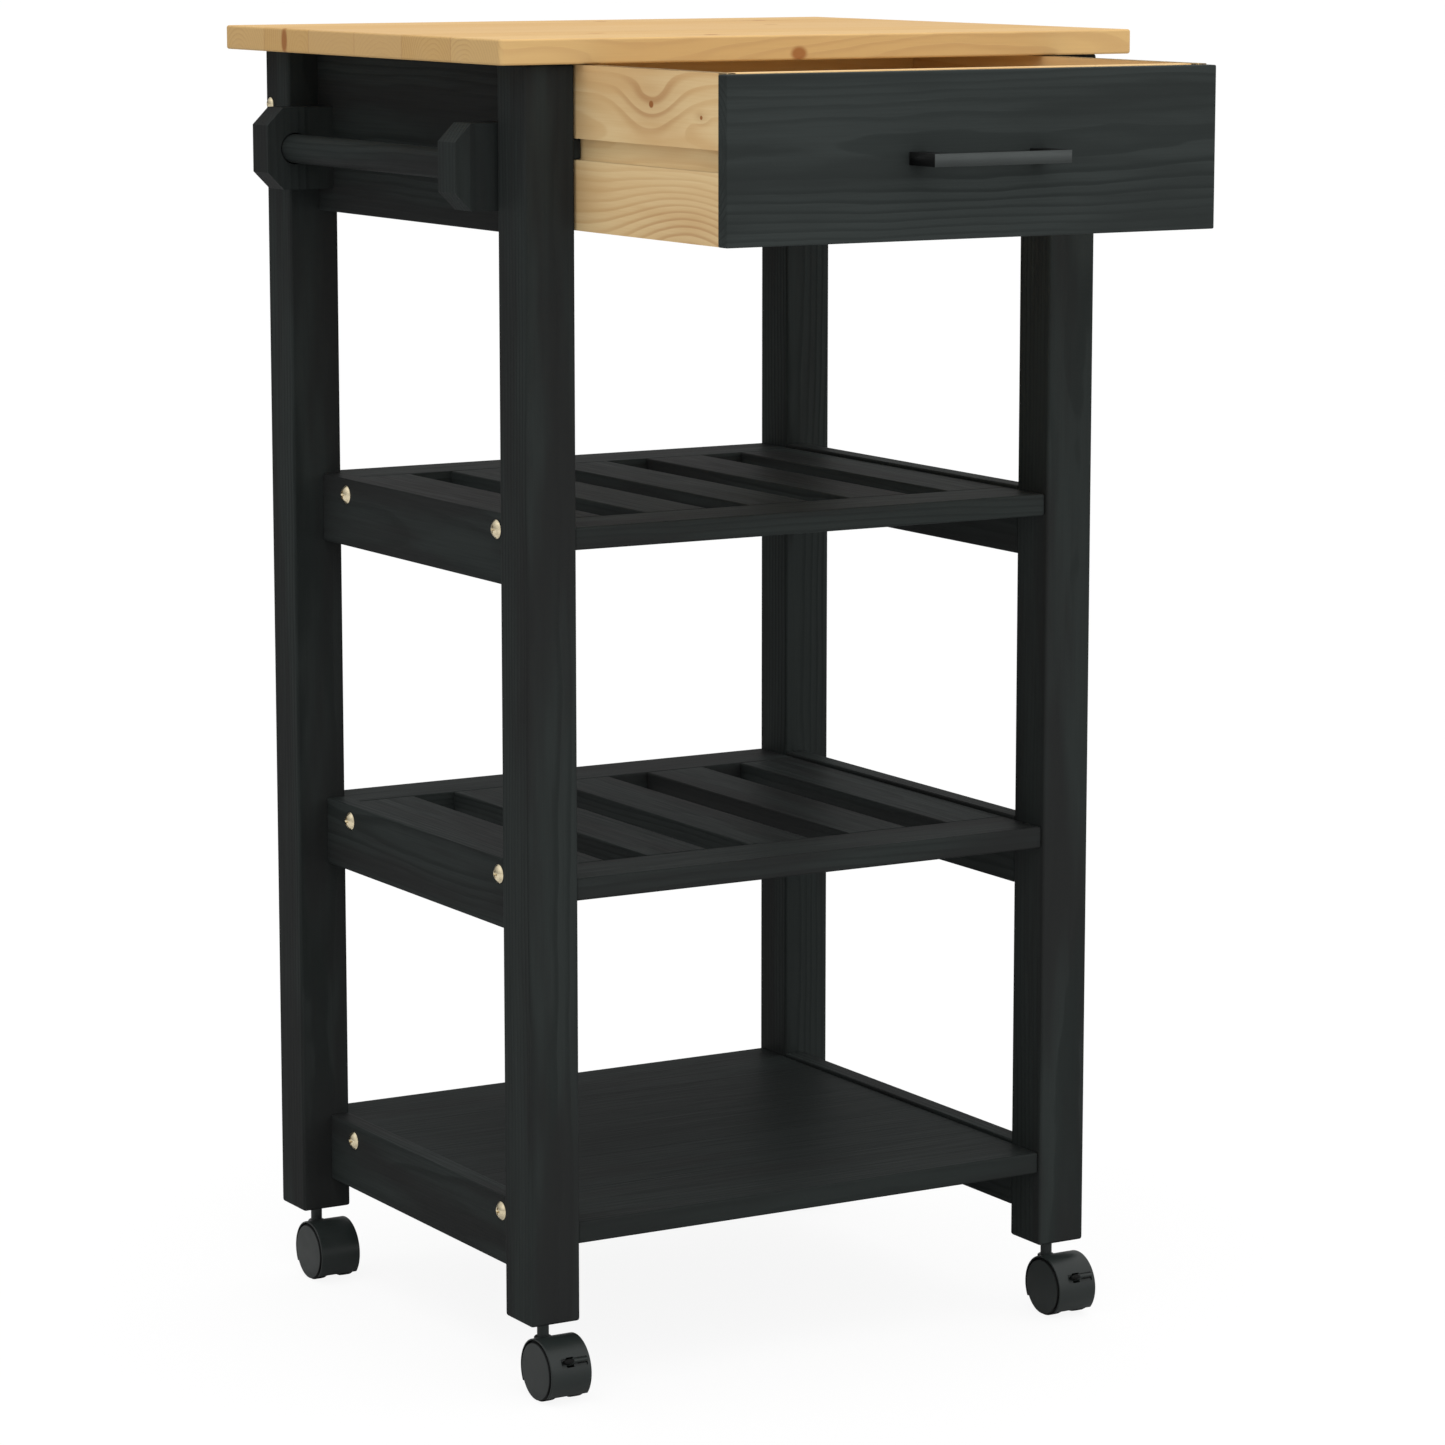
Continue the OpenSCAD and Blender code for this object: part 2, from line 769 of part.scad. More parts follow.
placed() worktop();
placed() leg(LEFT, FRONT);  // leg_front_left
placed() leg(RIGHT, FRONT);  // leg_front_right
placed() leg(LEFT, BACK);  // leg_back_left
placed() leg(RIGHT, BACK);  // leg_back_right
placed() side_apron(LEFT);  // side_apron_left
placed() side_apron(RIGHT);  // side_apron_right
placed() back_apron();
placed() rail(LEFT, upper_level);  // upper_rail_left
placed() rail(RIGHT, upper_level);  // upper_rail_right
placed() rail(LEFT, 1);  // middle_rail_left
placed() rail(RIGHT, 1);  // middle_rail_right
placed() rail(LEFT, 0);  // lower_rail_left
placed() rail(RIGHT, 0);  // lower_rail_right
placed() shelf_cross_board(upper_level, FRONT);  // upper_shelf_front
placed() shelf_cross_board(upper_level, BACK);  // upper_shelf_back
placed() shelf_slats(upper_level);  // upper_shelf_slats
placed() shelf_cross_board(1, FRONT);  // middle_shelf_front
placed() shelf_cross_board(1, BACK);  // middle_shelf_back
placed() shelf_slats(1);  // middle_shelf_slats
placed() bottom_shelf();
placed() towel_bracket(bracket_front_y);  // towel_bracket_front
placed() towel_bracket(bracket_back_y);  // towel_bracket_back
placed() towel_bar();
placed() drawer_runner(LEFT);  // drawer_runner_left
placed() drawer_runner(RIGHT);  // drawer_runner_right
placed() shelf_screws();
placed() back_apron_screws();
placed() wood_screws();
placed() frame_dowels();
placed() castor_sockets();
placed() castor_stems();
placed() hood(LEFT, FRONT, true);  // hood_front_left
placed() hood(RIGHT, FRONT, true);  // hood_front_right
placed() hood(LEFT, BACK, false);  // hood_back_left
placed() hood(RIGHT, BACK, false);  // hood_back_right
placed() axle(LEFT, FRONT);  // axle_front_left
placed() axle(RIGHT, FRONT);  // axle_front_right
placed() axle(LEFT, BACK);  // axle_back_left
placed() axle(RIGHT, BACK);  // axle_back_right
placed() wheel(LEFT, FRONT, LEFT);  // wheel_front_left_a
placed() wheel(LEFT, FRONT, RIGHT);  // wheel_front_left_b
placed() wheel(RIGHT, FRONT, LEFT);  // wheel_front_right_a
placed() wheel(RIGHT, FRONT, RIGHT);  // wheel_front_right_b
placed() wheel(LEFT, BACK, LEFT);  // wheel_back_left_a
placed() wheel(LEFT, BACK, RIGHT);  // wheel_back_left_b
placed() wheel(RIGHT, BACK, LEFT);  // wheel_back_right_a
placed() wheel(RIGHT, BACK, RIGHT);  // wheel_back_right_b
placed() brake_lever(LEFT);  // brake_lever_left
placed() brake_lever(RIGHT);  // brake_lever_right
placed() drawer_front();
placed() drawer_inner_front();
placed() drawer_side(LEFT);  // drawer_side_left
placed() drawer_side(RIGHT);  // drawer_side_right
placed() drawer_back();
placed() drawer_bottom();
placed() drawer_handle();
placed() handle_screws();
placed() drawer_front_screws();
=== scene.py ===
"""Looks of the kitchen island cart: rounded pine boards, plated screws, a powder-coated handle and
moulded twin-wheel castors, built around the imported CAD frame. Lengths are in metres."""

import json
import math
import random

import bmesh
import bpy
from mathutils import Matrix, Vector


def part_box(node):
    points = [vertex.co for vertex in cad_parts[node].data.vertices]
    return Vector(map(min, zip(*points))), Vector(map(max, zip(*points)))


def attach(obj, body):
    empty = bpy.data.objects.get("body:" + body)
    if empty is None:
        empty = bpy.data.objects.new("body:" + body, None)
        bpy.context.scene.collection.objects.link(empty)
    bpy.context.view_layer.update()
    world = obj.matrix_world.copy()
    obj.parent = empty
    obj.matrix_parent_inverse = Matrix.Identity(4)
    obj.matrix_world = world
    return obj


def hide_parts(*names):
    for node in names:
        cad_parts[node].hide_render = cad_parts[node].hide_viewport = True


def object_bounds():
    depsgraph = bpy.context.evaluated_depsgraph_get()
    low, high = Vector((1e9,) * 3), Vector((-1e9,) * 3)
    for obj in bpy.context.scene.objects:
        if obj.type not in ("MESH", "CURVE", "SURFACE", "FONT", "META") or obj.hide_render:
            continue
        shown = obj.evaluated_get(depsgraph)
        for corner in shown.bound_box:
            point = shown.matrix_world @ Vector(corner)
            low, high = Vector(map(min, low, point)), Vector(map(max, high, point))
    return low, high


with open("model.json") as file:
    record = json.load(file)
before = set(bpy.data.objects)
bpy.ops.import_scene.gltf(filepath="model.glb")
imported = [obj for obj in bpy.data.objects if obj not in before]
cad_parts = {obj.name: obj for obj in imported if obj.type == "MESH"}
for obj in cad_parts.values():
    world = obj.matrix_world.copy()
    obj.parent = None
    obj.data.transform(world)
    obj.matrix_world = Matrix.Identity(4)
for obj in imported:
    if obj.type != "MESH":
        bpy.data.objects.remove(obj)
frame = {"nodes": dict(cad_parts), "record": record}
cad_low, cad_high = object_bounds()
nodes = frame["nodes"]
BODY_OF = {n: b for b, ns in frame["record"]["behaviour"]["bodies"].items() for n in ns}

MM = 0.001
ALONG_X, ALONG_Y, ALONG_Z = 0, 1, 2

# ------------------------------------------------------------------ camera, floor and light

CAMERA_AT = Vector((-1.73786, -2.92649, 0.99023))
CAMERA_YAW = 30.443
CAMERA_PITCH = 9.39
CAMERA_LENS = 124.67


def make_camera():
    """The viewpoint of the picture: from the front left, just above the worktop."""
    data = bpy.data.cameras.new("camera")
    data.sensor_width = 36
    data.lens = CAMERA_LENS
    data.clip_end = 200
    camera = bpy.data.objects.new("camera", data)
    bpy.context.scene.collection.objects.link(camera)
    camera.location = CAMERA_AT
    camera.rotation_euler = (math.radians(90 - CAMERA_PITCH), 0, math.radians(-CAMERA_YAW))
    bpy.context.scene.camera = camera


def area_light(name, place, target, size, power):
    data = bpy.data.lights.new(name, "AREA")
    data.shape = "SQUARE"
    data.size = size
    data.energy = power
    light = bpy.data.objects.new(name, data)
    bpy.context.scene.collection.objects.link(light)
    light.location = place
    light.rotation_euler = (Vector(target) - Vector(place)).to_track_quat("-Z", "Y").to_euler()


# The sky brightens towards this direction, from the first strength to the second
SKY_BRIGHT_SIDE = (0.22, -0.42, 0.88)
SKY_DARKEST = 0.10
SKY_BRIGHTEST = 1.6
FLOOR_GLOW = 1.06
FLOOR_GLOW_SHARE = 0.85


def make_studio():
    """A pale floor under an even white sky, with soft lamps above and in front."""
    bpy.context.scene.view_settings.view_transform = "Standard"
    world = bpy.data.worlds.new("studio")
    bpy.context.scene.world = world
    world.use_nodes = True
    tree = world.node_tree
    tree.nodes.clear()
    seen = tree.nodes.new("ShaderNodeBackground")
    seen.inputs["Color"].default_value = (1, 1, 1, 1)
    sky = tree.nodes.new("ShaderNodeBackground")
    sky.inputs["Color"].default_value = (1, 1, 1, 1)
    direction = tree.nodes.new("ShaderNodeTexCoord")
    towards = tree.nodes.new("ShaderNodeVectorMath")
    towards.operation = "DOT_PRODUCT"
    towards.inputs[1].default_value = SKY_BRIGHT_SIDE
    brightness = tree.nodes.new("ShaderNodeMapRange")
    brightness.inputs["From Min"].default_value = -0.5
    brightness.inputs["To Min"].default_value = SKY_DARKEST
    brightness.inputs["To Max"].default_value = SKY_BRIGHTEST
    tree.links.new(direction.outputs["Generated"], towards.inputs[0])
    tree.links.new(towards.outputs["Value"], brightness.inputs["Value"])
    tree.links.new(brightness.outputs[0], sky.inputs["Strength"])
    path = tree.nodes.new("ShaderNodeLightPath")
    mix = tree.nodes.new("ShaderNodeMixShader")
    out = tree.nodes.new("ShaderNodeOutputWorld")
    tree.links.new(path.outputs["Is Camera Ray"], mix.inputs[0])
    tree.links.new(sky.outputs[0], mix.inputs[1])
    tree.links.new(seen.outputs[0], mix.inputs[2])
    tree.links.new(mix.outputs[0], out.inputs[0])

    centre = (cad_low + cad_high) / 2
    area_light("lamp_above", centre + Vector((-0.6, -0.3, 2.6)), centre, 2.2, 21)
    area_light("lamp_front", centre + Vector((0.3, -3.2, 0.9)), centre, 1.8, 10)

    mesh = bpy.data.meshes.new("floor")
    reach = 60
    corners = [(-reach, -reach, 0), (reach, -reach, 0), (reach, reach, 0), (-reach, reach, 0)]
    mesh.from_pydata(corners, [], [(0, 1, 2, 3)])
    floor = bpy.data.objects.new("floor", mesh)
    bpy.context.scene.collection.objects.link(floor)
    mesh.materials.append(floor_paint())


def floor_paint():
    """White paint that glows a little towards the viewer, so that it stays white under the cart."""
    s = Shade("floor_white", Roughness=0.9)
    s.shader.inputs["Base Color"].default_value = (0.6, 0.6, 0.6, 1)
    s.shader.inputs["Specular IOR Level"].default_value = 0.1
    glow = s.add("Emission", ((1, 1, 1, 1), FLOOR_GLOW))
    share = s.math("MULTIPLY", s.add("LightPath").outputs["Is Camera Ray"], FLOOR_GLOW_SHARE)
    both = s.add("MixShader", (share, s.shader.outputs[0], glow.outputs[0]))
    s.tree.links.new(both.outputs[0], s.tree.nodes["Material Output"].inputs["Surface"])
    return s.material


# ------------------------------------------------------------------ material tools


class Shade:
    """A node material under construction, with short calls for the nodes it is made of."""

    def __init__(self, name, **settings):
        self.material = bpy.data.materials.new(name)
        self.material.use_nodes = True
        self.tree = self.material.node_tree
        self.shader = self.tree.nodes["Principled BSDF"]
        for key, value in settings.items():
            self.shader.inputs[key.replace("_", " ")].default_value = value

    def add(self, kind, values=(), **settings):
        node = self.tree.nodes.new("ShaderNode" + kind)
        for key, value in settings.items():
            setattr(node, key, value)
        for socket, value in enumerate(values):
            self.put(node, socket, value)
        return node

    def put(self, node, socket, value):
        """Sets an input from a number, a vector or another node's output."""
        if value is None:
            return
        if isinstance(value, bpy.types.NodeSocket):
            self.tree.links.new(value, node.inputs[socket])
        else:
            node.inputs[socket].default_value = value

    def math(self, operation, a, b=None, c=None):
        return self.add("Math", (a, b, c), operation=operation).outputs[0]

    def vector(self, operation, a, b=None):
        return self.add("VectorMath", (a, b), operation=operation).outputs[0]

    def scaled(self, coordinates, x, y, z):
        return self.vector("MULTIPLY", coordinates, (x, y, z))

    def length(self, a, b, squeeze):
        """The length of the pair (a, b) after a is multiplied by squeeze."""
        a = self.math("POWER", self.math("MULTIPLY", a, squeeze), 2.0)
        return self.math("SQRT", self.math("ADD", a, self.math("POWER", b, 2.0)))

    def noise(self, coordinates, detail=2.0, rough=0.5):
        """Smooth noise from 0 to 1 with one cell per unit of the coordinates."""
        node = self.add("TexNoise", (coordinates,))
        node.inputs["Scale"].default_value = 1.0
        node.inputs["Detail"].default_value = detail
        node.inputs["Roughness"].default_value = rough
        return node.outputs["Fac"]

    def between(self, value, low, high, to_low=0.0, to_high=1.0):
        """Maps low..high of a value smoothly to to_low..to_high, and holds it there outside."""
        node = self.add("MapRange", (value, low, high, to_low, to_high), interpolation_type="SMOOTHSTEP")
        return node.outputs[0]

    def mix(self, share, a, b):
        """A mix of two colours."""
        node = self.add("Mix", data_type="RGBA")
        self.put(node, 0, share)
        self.put(node, 6, a)
        self.put(node, 7, b)
        return node.outputs[2]

    def bump(self, height, distance, strength=1.0):
        node = self.add("Bump")
        node.inputs["Strength"].default_value = strength
        node.inputs["Distance"].default_value = distance
        self.put(node, "Height", height)
        self.tree.links.new(node.outputs[0], self.shader.inputs["Normal"])


def rgb(red, green, blue):
    return (red, green, blue, 1.0)


# Noise cells per metre along the grain, across it and through the board: the rings' slow and fine
# wander, the areas where rings are faint, the fibres, the streaks and the cloudy patches
SLOW_WANDER = (2.6, 9, 9)
FINE_WANDER = (11, 45, 45)
RING_AREAS = (1.3, 22, 22)
FIBRES = (16, 900, 900)
STREAKS = (1.6, 55, 55)
CLOUDS = (3.2, 26, 26)
FINE_WANDER_REACH = 4.2 * MM
# Places in a growth ring, from 0 to 1, and how dark the wood is there
RING_TONES = ((0.45, 0.12), (0.82, 1.0), (0.93, 0.9))
# A stave's seam, and how far its grain may be moved along, across and through: factor and start
SEAM_WIDTH = 0.6 * MM
STAVE_ALONG = 3.0
STAVE_ACROSS = (0.06, -0.06)
STAVE_DEPTH = (0.05, -0.01)
# Knots strewn at random: the cells they lie in, their radius and the reach of the bent grain
WILD_CELL = (0.19, 0.075)
WILD_RADIUS = 4.5 * MM
WILD_REACH = 13 * MM
# Knots and the bent grain round them are longer along the grain by one over these
KNOT_SQUEEZE = 0.8
SWIRL_SQUEEZE = 0.45


def wood(name, early, late, knot, streak, ring=0.0042, knots=(), stave=None, contrast=1.0,
         roughness=0.5, specular=0.3, relief=0.00012, wild_knots=0.0, wave=0.034, halo=0.3, patch=None,
         marks=()):
    """Sawn pine. The mesh's "grain" attribute gives metres along the grain, across it and through
    the board; the growth rings are cylinders round the line where the last two are 0. early and
    late are the two colours of a ring, wave is how far the rings wander, and knots lists
    (along, across, radius, reach of the bent grain). halo tints the bent grain, patch is the
    colour of broad cloudy areas, and marks lists (along, across, through, half size) of streaks
    that lie across the staves."""
    s = Shade(name)
    s.shader.inputs["Specular IOR Level"].default_value = specular
    grain = s.add("Attribute", attribute_name="grain").outputs["Vector"]
    whole = grain
    if stave:
        parts = s.add("SeparateXYZ", (grain,))
        index = s.math("FLOOR", s.math("DIVIDE", parts.outputs[1], stave))
        inside = s.math("SUBTRACT", parts.outputs[1], s.math("MULTIPLY", index, stave))
        pick = s.add("TexWhiteNoise", noise_dimensions="1D")
        s.put(pick, "W", index)
        jump = s.add("SeparateColor", (pick.outputs["Color"],))
        along = s.math("ADD", parts.outputs[0], s.math("MULTIPLY", jump.outputs[0], STAVE_ALONG))
        across = s.math("ADD", inside, s.math("MULTIPLY_ADD", jump.outputs[1], *STAVE_ACROSS))
        depth = s.math("ADD", parts.outputs[2], s.math("MULTIPLY_ADD", jump.outputs[2], *STAVE_DEPTH))
        grain = s.add("CombineXYZ", (along, across, depth)).outputs[0]
        seam_at = s.math("DIVIDE", s.math("MINIMUM", inside, s.math("SUBTRACT", stave, inside)), SEAM_WIDTH)
        seam = s.between(seam_at, 0.0, 1.0, 1.0, 0.0)
        tone = pick.outputs["Value"]
    parts = s.add("SeparateXYZ", (grain,))
    x, y, z = parts.outputs[0], parts.outputs[1], parts.outputs[2]

    wander = s.math("SUBTRACT", s.noise(s.scaled(grain, *SLOW_WANDER), 1.5), 0.5)
    wander_fine = s.math("SUBTRACT", s.noise(s.scaled(grain, *FINE_WANDER), 2.0), 0.5)
    radius = s.math("SQRT", s.math("ADD", s.math("MULTIPLY", y, y), s.math("MULTIPLY", z, z)))
    radius = s.math("MULTIPLY_ADD", wander, wave, radius)
    radius = s.math("MULTIPLY_ADD", wander_fine, FINE_WANDER_REACH, radius)

    core = swirl = None
    found = []
    for at_x, at_y, size, reach in knots:
        found.append((s.math("SUBTRACT", x, at_x), s.math("SUBTRACT", y, at_y), size, reach, None))
    if wild_knots:
        cell_long, cell_wide = WILD_CELL
        cell = s.scaled(grain, 1 / cell_long, 1 / cell_wide, 0)
        cell = s.add("TexVoronoi", (cell,), voronoi_dimensions="2D")
        cell.inputs["Scale"].default_value = 1.0
        place = s.add("SeparateXYZ", (cell.outputs["Position"],))
        luck = s.add("TexWhiteNoise", (cell.outputs["Position"],), noise_dimensions="2D")
        chosen = s.math("LESS_THAN", luck.outputs["Value"], wild_knots)
        found.append((s.math("SUBTRACT", x, s.math("MULTIPLY", place.outputs[0], cell_long)),
                      s.math("SUBTRACT", y, s.math("MULTIPLY", place.outputs[1], cell_wide)),
                      WILD_RADIUS, WILD_REACH, chosen))
    for dx, dy, size, reach, chosen in found:
        far = s.length(dx, dy, SWIRL_SQUEEZE)
        near = s.length(dx, dy, KNOT_SQUEEZE)
        push = s.math("POWER", s.math("DIVIDE", far, reach), 2.0)
        push = s.math("EXPONENT", s.math("MULTIPLY", push, -1.0))
        here = s.between(near, size * 0.72, size * 1.12, 1.0, 0.0)
        if chosen is not None:
            push = s.math("MULTIPLY", push, chosen)
            here = s.math("MULTIPLY", here, chosen)
        radius = s.math("MULTIPLY_ADD", push, reach * 0.85, radius)
        core = here if core is None else s.math("MAXIMUM", core, here)
        swirl = push if swirl is None else s.math("MAXIMUM", swirl, push)

    turn = s.math("FRACT", s.math("DIVIDE", radius, ring))
    summer = s.add("ValToRGB", (turn,))
    ramp = summer.color_ramp
    ramp.interpolation = "EASE"
    ramp.elements[0].position, ramp.elements[0].color = 0.0, rgb(0, 0, 0)
    ramp.elements[1].position, ramp.elements[1].color = 1.0, rgb(0, 0, 0)
    for place, level in RING_TONES:
        point = ramp.elements.new(place)
        point.color = rgb(level, level, level)
    ring_dark = summer.outputs["Color"]
    strength = s.between(s.noise(s.scaled(grain, *RING_AREAS), 1.0), 0.25, 0.75, 0.25 * contrast, contrast)
    ring_dark = s.math("MULTIPLY", ring_dark, strength)

    fibre = s.noise(s.scaled(grain, *FIBRES), 3.0, 0.6)
    band = s.noise(s.scaled(grain, *STREAKS), 2.0)
    colour = s.mix(ring_dark, rgb(*early), rgb(*late))
    colour = s.mix(s.between(band, 0.45, 0.85, 0.0, 0.55 * contrast), colour, rgb(*streak))
    colour = s.mix(s.between(fibre, 0.35, 0.8, 0.0, 0.28 * contrast), colour, rgb(*late))
    if patch:
        cloud = s.noise(s.scaled(whole, *CLOUDS), 3.0, 0.6)
        colour = s.mix(s.between(cloud, 0.42, 0.62, 0.0, 0.85), colour, rgb(*patch))
    if stave:
        colour = s.mix(s.math("MULTIPLY", tone, 0.75), colour, rgb(*streak))
        colour = s.mix(s.math("MULTIPLY", jump.outputs[1], 0.6), colour, rgb(*late))
        colour = s.mix(s.math("MULTIPLY", seam, 0.45), colour, rgb(*knot))
    for place, half in marks:
        away = s.vector("DIVIDE", s.vector("SUBTRACT", whole, place), half)
        away = s.add("VectorMath", (away,), operation="LENGTH").outputs["Value"]
        spot = s.between(away, 0.45, 1.0, 0.9, 0.0)
        colour = s.mix(spot, colour, rgb(*knot))
    if core is not None:
        tint = s.math("MULTIPLY", s.math("MULTIPLY", swirl, ring_dark), 2 * halo)
        colour = s.mix(s.math("MULTIPLY_ADD", swirl, 0.3 * halo, tint), colour, rgb(*knot))
        colour = s.mix(core, colour, rgb(*knot))
    s.tree.links.new(colour, s.shader.inputs["Base Color"])
    s.put(s.shader, "Roughness", s.between(fibre, 0.2, 0.8, roughness - 0.08, roughness + 0.08))
    height = s.math("ADD", s.math("MULTIPLY", ring_dark, 0.6), s.math("MULTIPLY", fibre, 0.5))
    if stave:
        height = s.math("SUBTRACT", height, s.math("MULTIPLY", seam, 1.2))
    s.bump(height, relief)
    return s.material


def plain_wood(name, light, dark):
    """Turned wood with fine fibres, for dowels that keep their CAD mesh."""
    s = Shade(name, Roughness=0.6)
    place = s.add("TexCoord").outputs["Object"]
    fibre = s.noise(s.scaled(place, 700, 60, 700), 3.0, 0.6)
    mixed = s.mix(s.between(fibre, 0.3, 0.75), rgb(*light), rgb(*dark))
    s.tree.links.new(mixed, s.shader.inputs["Base Color"])
    s.bump(fibre, 0.00005)
    return s.material


def moulded(name, colour, roughness, specular, grit=1500, relief=0.00003):
    """Moulded nylon or powder coat: a fine even skin with slightly uneven gloss."""
    s = Shade(name)
    s.shader.inputs["Specular IOR Level"].default_value = specular
    place = s.add("TexCoord").outputs["Object"]
    fine = s.noise(s.scaled(place, grit, grit, grit), 2.0)
    broad = s.noise(s.scaled(place, 45, 45, 45), 3.0)
    light = tuple(c * 1.35 for c in colour)
    s.tree.links.new(s.mix(broad, rgb(*colour), rgb(*light)), s.shader.inputs["Base Color"])
    s.put(s.shader, "Roughness", s.between(broad, 0.25, 0.75, roughness - 0.06, roughness + 0.08))
    s.bump(fine, relief)
    return s.material


def metal(name, colour, roughness, scratch=(300, 300, 300)):
    """Plated steel with faint tarnish and fine marks."""
    s = Shade(name)
    s.shader.inputs["Metallic"].default_value = 1.0
    place = s.add("TexCoord").outputs["Object"]
    marks = s.noise(s.scaled(place, *scratch), 4.0, 0.65)
    dull = tuple(c * 0.72 for c in colour)
    mixed = s.mix(s.between(marks, 0.4, 0.75), rgb(*colour), rgb(*dull))
    s.tree.links.new(mixed, s.shader.inputs["Base Color"])
    s.put(s.shader, "Roughness", s.between(marks, 0.2, 0.8, roughness - 0.08, roughness + 0.12))
    s.bump(marks, 0.00002)
    return s.material


# ------------------------------------------------------------------ mesh tools


def rounded(bm, radius, segments=3, sharp_over=30):
    """Rounds every edge where two faces meet at more than sharp_over degrees."""
    limit = math.radians(sharp_over)
    edges = [e for e in bm.edges if len(e.link_faces) == 2 and e.calc_face_angle(0) > limit]
    bmesh.ops.bevel(bm, geom=edges, offset=radius, offset_type="OFFSET", segments=segments, profile=0.5,
                    affect="EDGES", clamp_overlap=True)


def piece(name, bm, like, material, smooth=True, replaces=True):
    """Turns a mesh under construction into a piece that stands for the CAD node like."""
    bmesh.ops.remove_doubles(bm, verts=bm.verts, dist=1e-6)
    bmesh.ops.recalc_face_normals(bm, faces=bm.faces)
    mesh = bpy.data.meshes.new(name)
    bm.to_mesh(mesh)
    bm.free()
    item = bpy.data.objects.new(name, mesh)
    bpy.context.scene.collection.objects.link(item)
    mesh.materials.append(material)
    if smooth:
        mesh.shade_smooth()
        even = item.modifiers.new("even_normals", "WEIGHTED_NORMAL")
        even.keep_sharp = True
        even.weight = 80
    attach(item, BODY_OF[like])
    if replaces:
        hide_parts(like)
    return item


def set_grain(item, axis, low, high, offset=None):
    """Stores each point's place in the board: metres along the grain, across it and through it.
    The offset puts the growth rings' centre outside the board, somewhere else for each board."""
    dice = random.Random(item.name)
    size = high - low
    others = sorted((a for a in range(3) if a != axis), key=lambda a: -size[a])
    if offset is None:
        offset = (dice.uniform(0, 9), dice.uniform(-0.4, 0.4) * size[others[0]],
                  dice.choice((-1, 1)) * dice.uniform(0.018, 0.06))
    middle = (low + high) / 2
    layer = item.data.attributes.new("grain", "FLOAT_VECTOR", "POINT")
    for i, vertex in enumerate(item.data.vertices):
        p = vertex.co - middle
        layer.data[i].vector = (p[axis] + offset[0], p[others[0]] + offset[1], p[others[1]] + offset[2])


def box_mesh(bm, low, high):
    size = high - low
    made = bmesh.ops.create_cube(bm, size=1)
    bmesh.ops.scale(bm, vec=size, verts=made["verts"])
    bmesh.ops.translate(bm, vec=(low + high) / 2, verts=made["verts"])
    return made["verts"]


def board(name, node, material, axis=None, radius=1.6 * MM, offset=None):
    """A plain board: the CAD node's box with its edges rounded."""
    low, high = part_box(node)
    size = high - low
    if axis is None:
        axis = max(range(3), key=lambda a: size[a])
    bm = bmesh.new()
    box_mesh(bm, low, high)
    rounded(bm, radius)
    item = piece(name, bm, node, material)
    set_grain(item, axis, low, high, offset)
    return item


def swept(bm, outline, frame_of, start, stop):
    """A solid with a closed outline of (a, b) points, pushed from start to stop.
    frame_of turns (a, b, t) into a point."""
    near = [bm.verts.new(frame_of(a, b, start)) for a, b in outline]
    far = [bm.verts.new(frame_of(a, b, stop)) for a, b in outline]
    count = len(outline)
    for i in range(count):
        j = (i + 1) % count
        bm.faces.new((near[i], near[j], far[j], far[i]))
    bm.faces.new(near[::-1])
    bm.faces.new(far)


def turned(bm, outline, to_point, steps=64, start=0.0, arc=360.0, closed=False):
    """Turns (radius, height) points round an axis. to_point makes a point of (radius, angle, height).
    A closed outline over less than a full turn gets flat ends."""
    full = arc >= 360
    count = steps if full else steps + 1
    rings = []
    for i in range(count):
        angle = math.radians(start + arc * i / steps)
        rings.append([bm.verts.new(to_point(r, angle, h)) for r, h in outline])
    last = len(outline) if closed else len(outline) - 1
    for i in range(steps):
        a, b = rings[i], rings[(i + 1) % count]
        for j in range(last):
            k = (j + 1) % len(outline)
            bm.faces.new((a[j], a[k], b[k], b[j]))
    if closed and not full:
        bm.faces.new(rings[0][::-1])
        bm.faces.new(rings[-1])


def arc_points(centre, radius, start, stop, count):
    """Points on a circle's arc in the outline's own plane, ends included, angles in degrees."""
    steps = [math.radians(start + (stop - start) * i / (count - 1)) for i in range(count)]
    return [(centre[0] + radius * math.cos(a), centre[1] + radius * math.sin(a)) for a in steps]


def about_x(centre):
    """Points round an axis along X: height runs along +X, and angle 0 is straight up."""
    return lambda r, a, h: centre + Vector((h, -r * math.sin(a), r * math.cos(a)))


def about_z(centre):
    return lambda r, a, h: centre + Vector((r * math.cos(a), r * math.sin(a), h))


# ------------------------------------------------------------------ materials

PINE_EARLY = (0.61, 0.400, 0.160)
PINE_LATE = (0.47, 0.280, 0.110)
PINE_KNOT = (0.30, 0.115, 0.035)
PINE_STREAK = (0.585, 0.395, 0.188)
BARE_EARLY = (0.65, 0.45, 0.215)
BARE_LATE = (0.54, 0.32, 0.125)
BARE_STREAK = (0.60, 0.385, 0.165)
SIDE_EARLY = (0.73, 0.545, 0.29)
SIDE_LATE = (0.56, 0.31, 0.12)
SIDE_STREAK = (0.60, 0.35, 0.145)
SIDE_PATCH = (0.63, 0.41, 0.19)

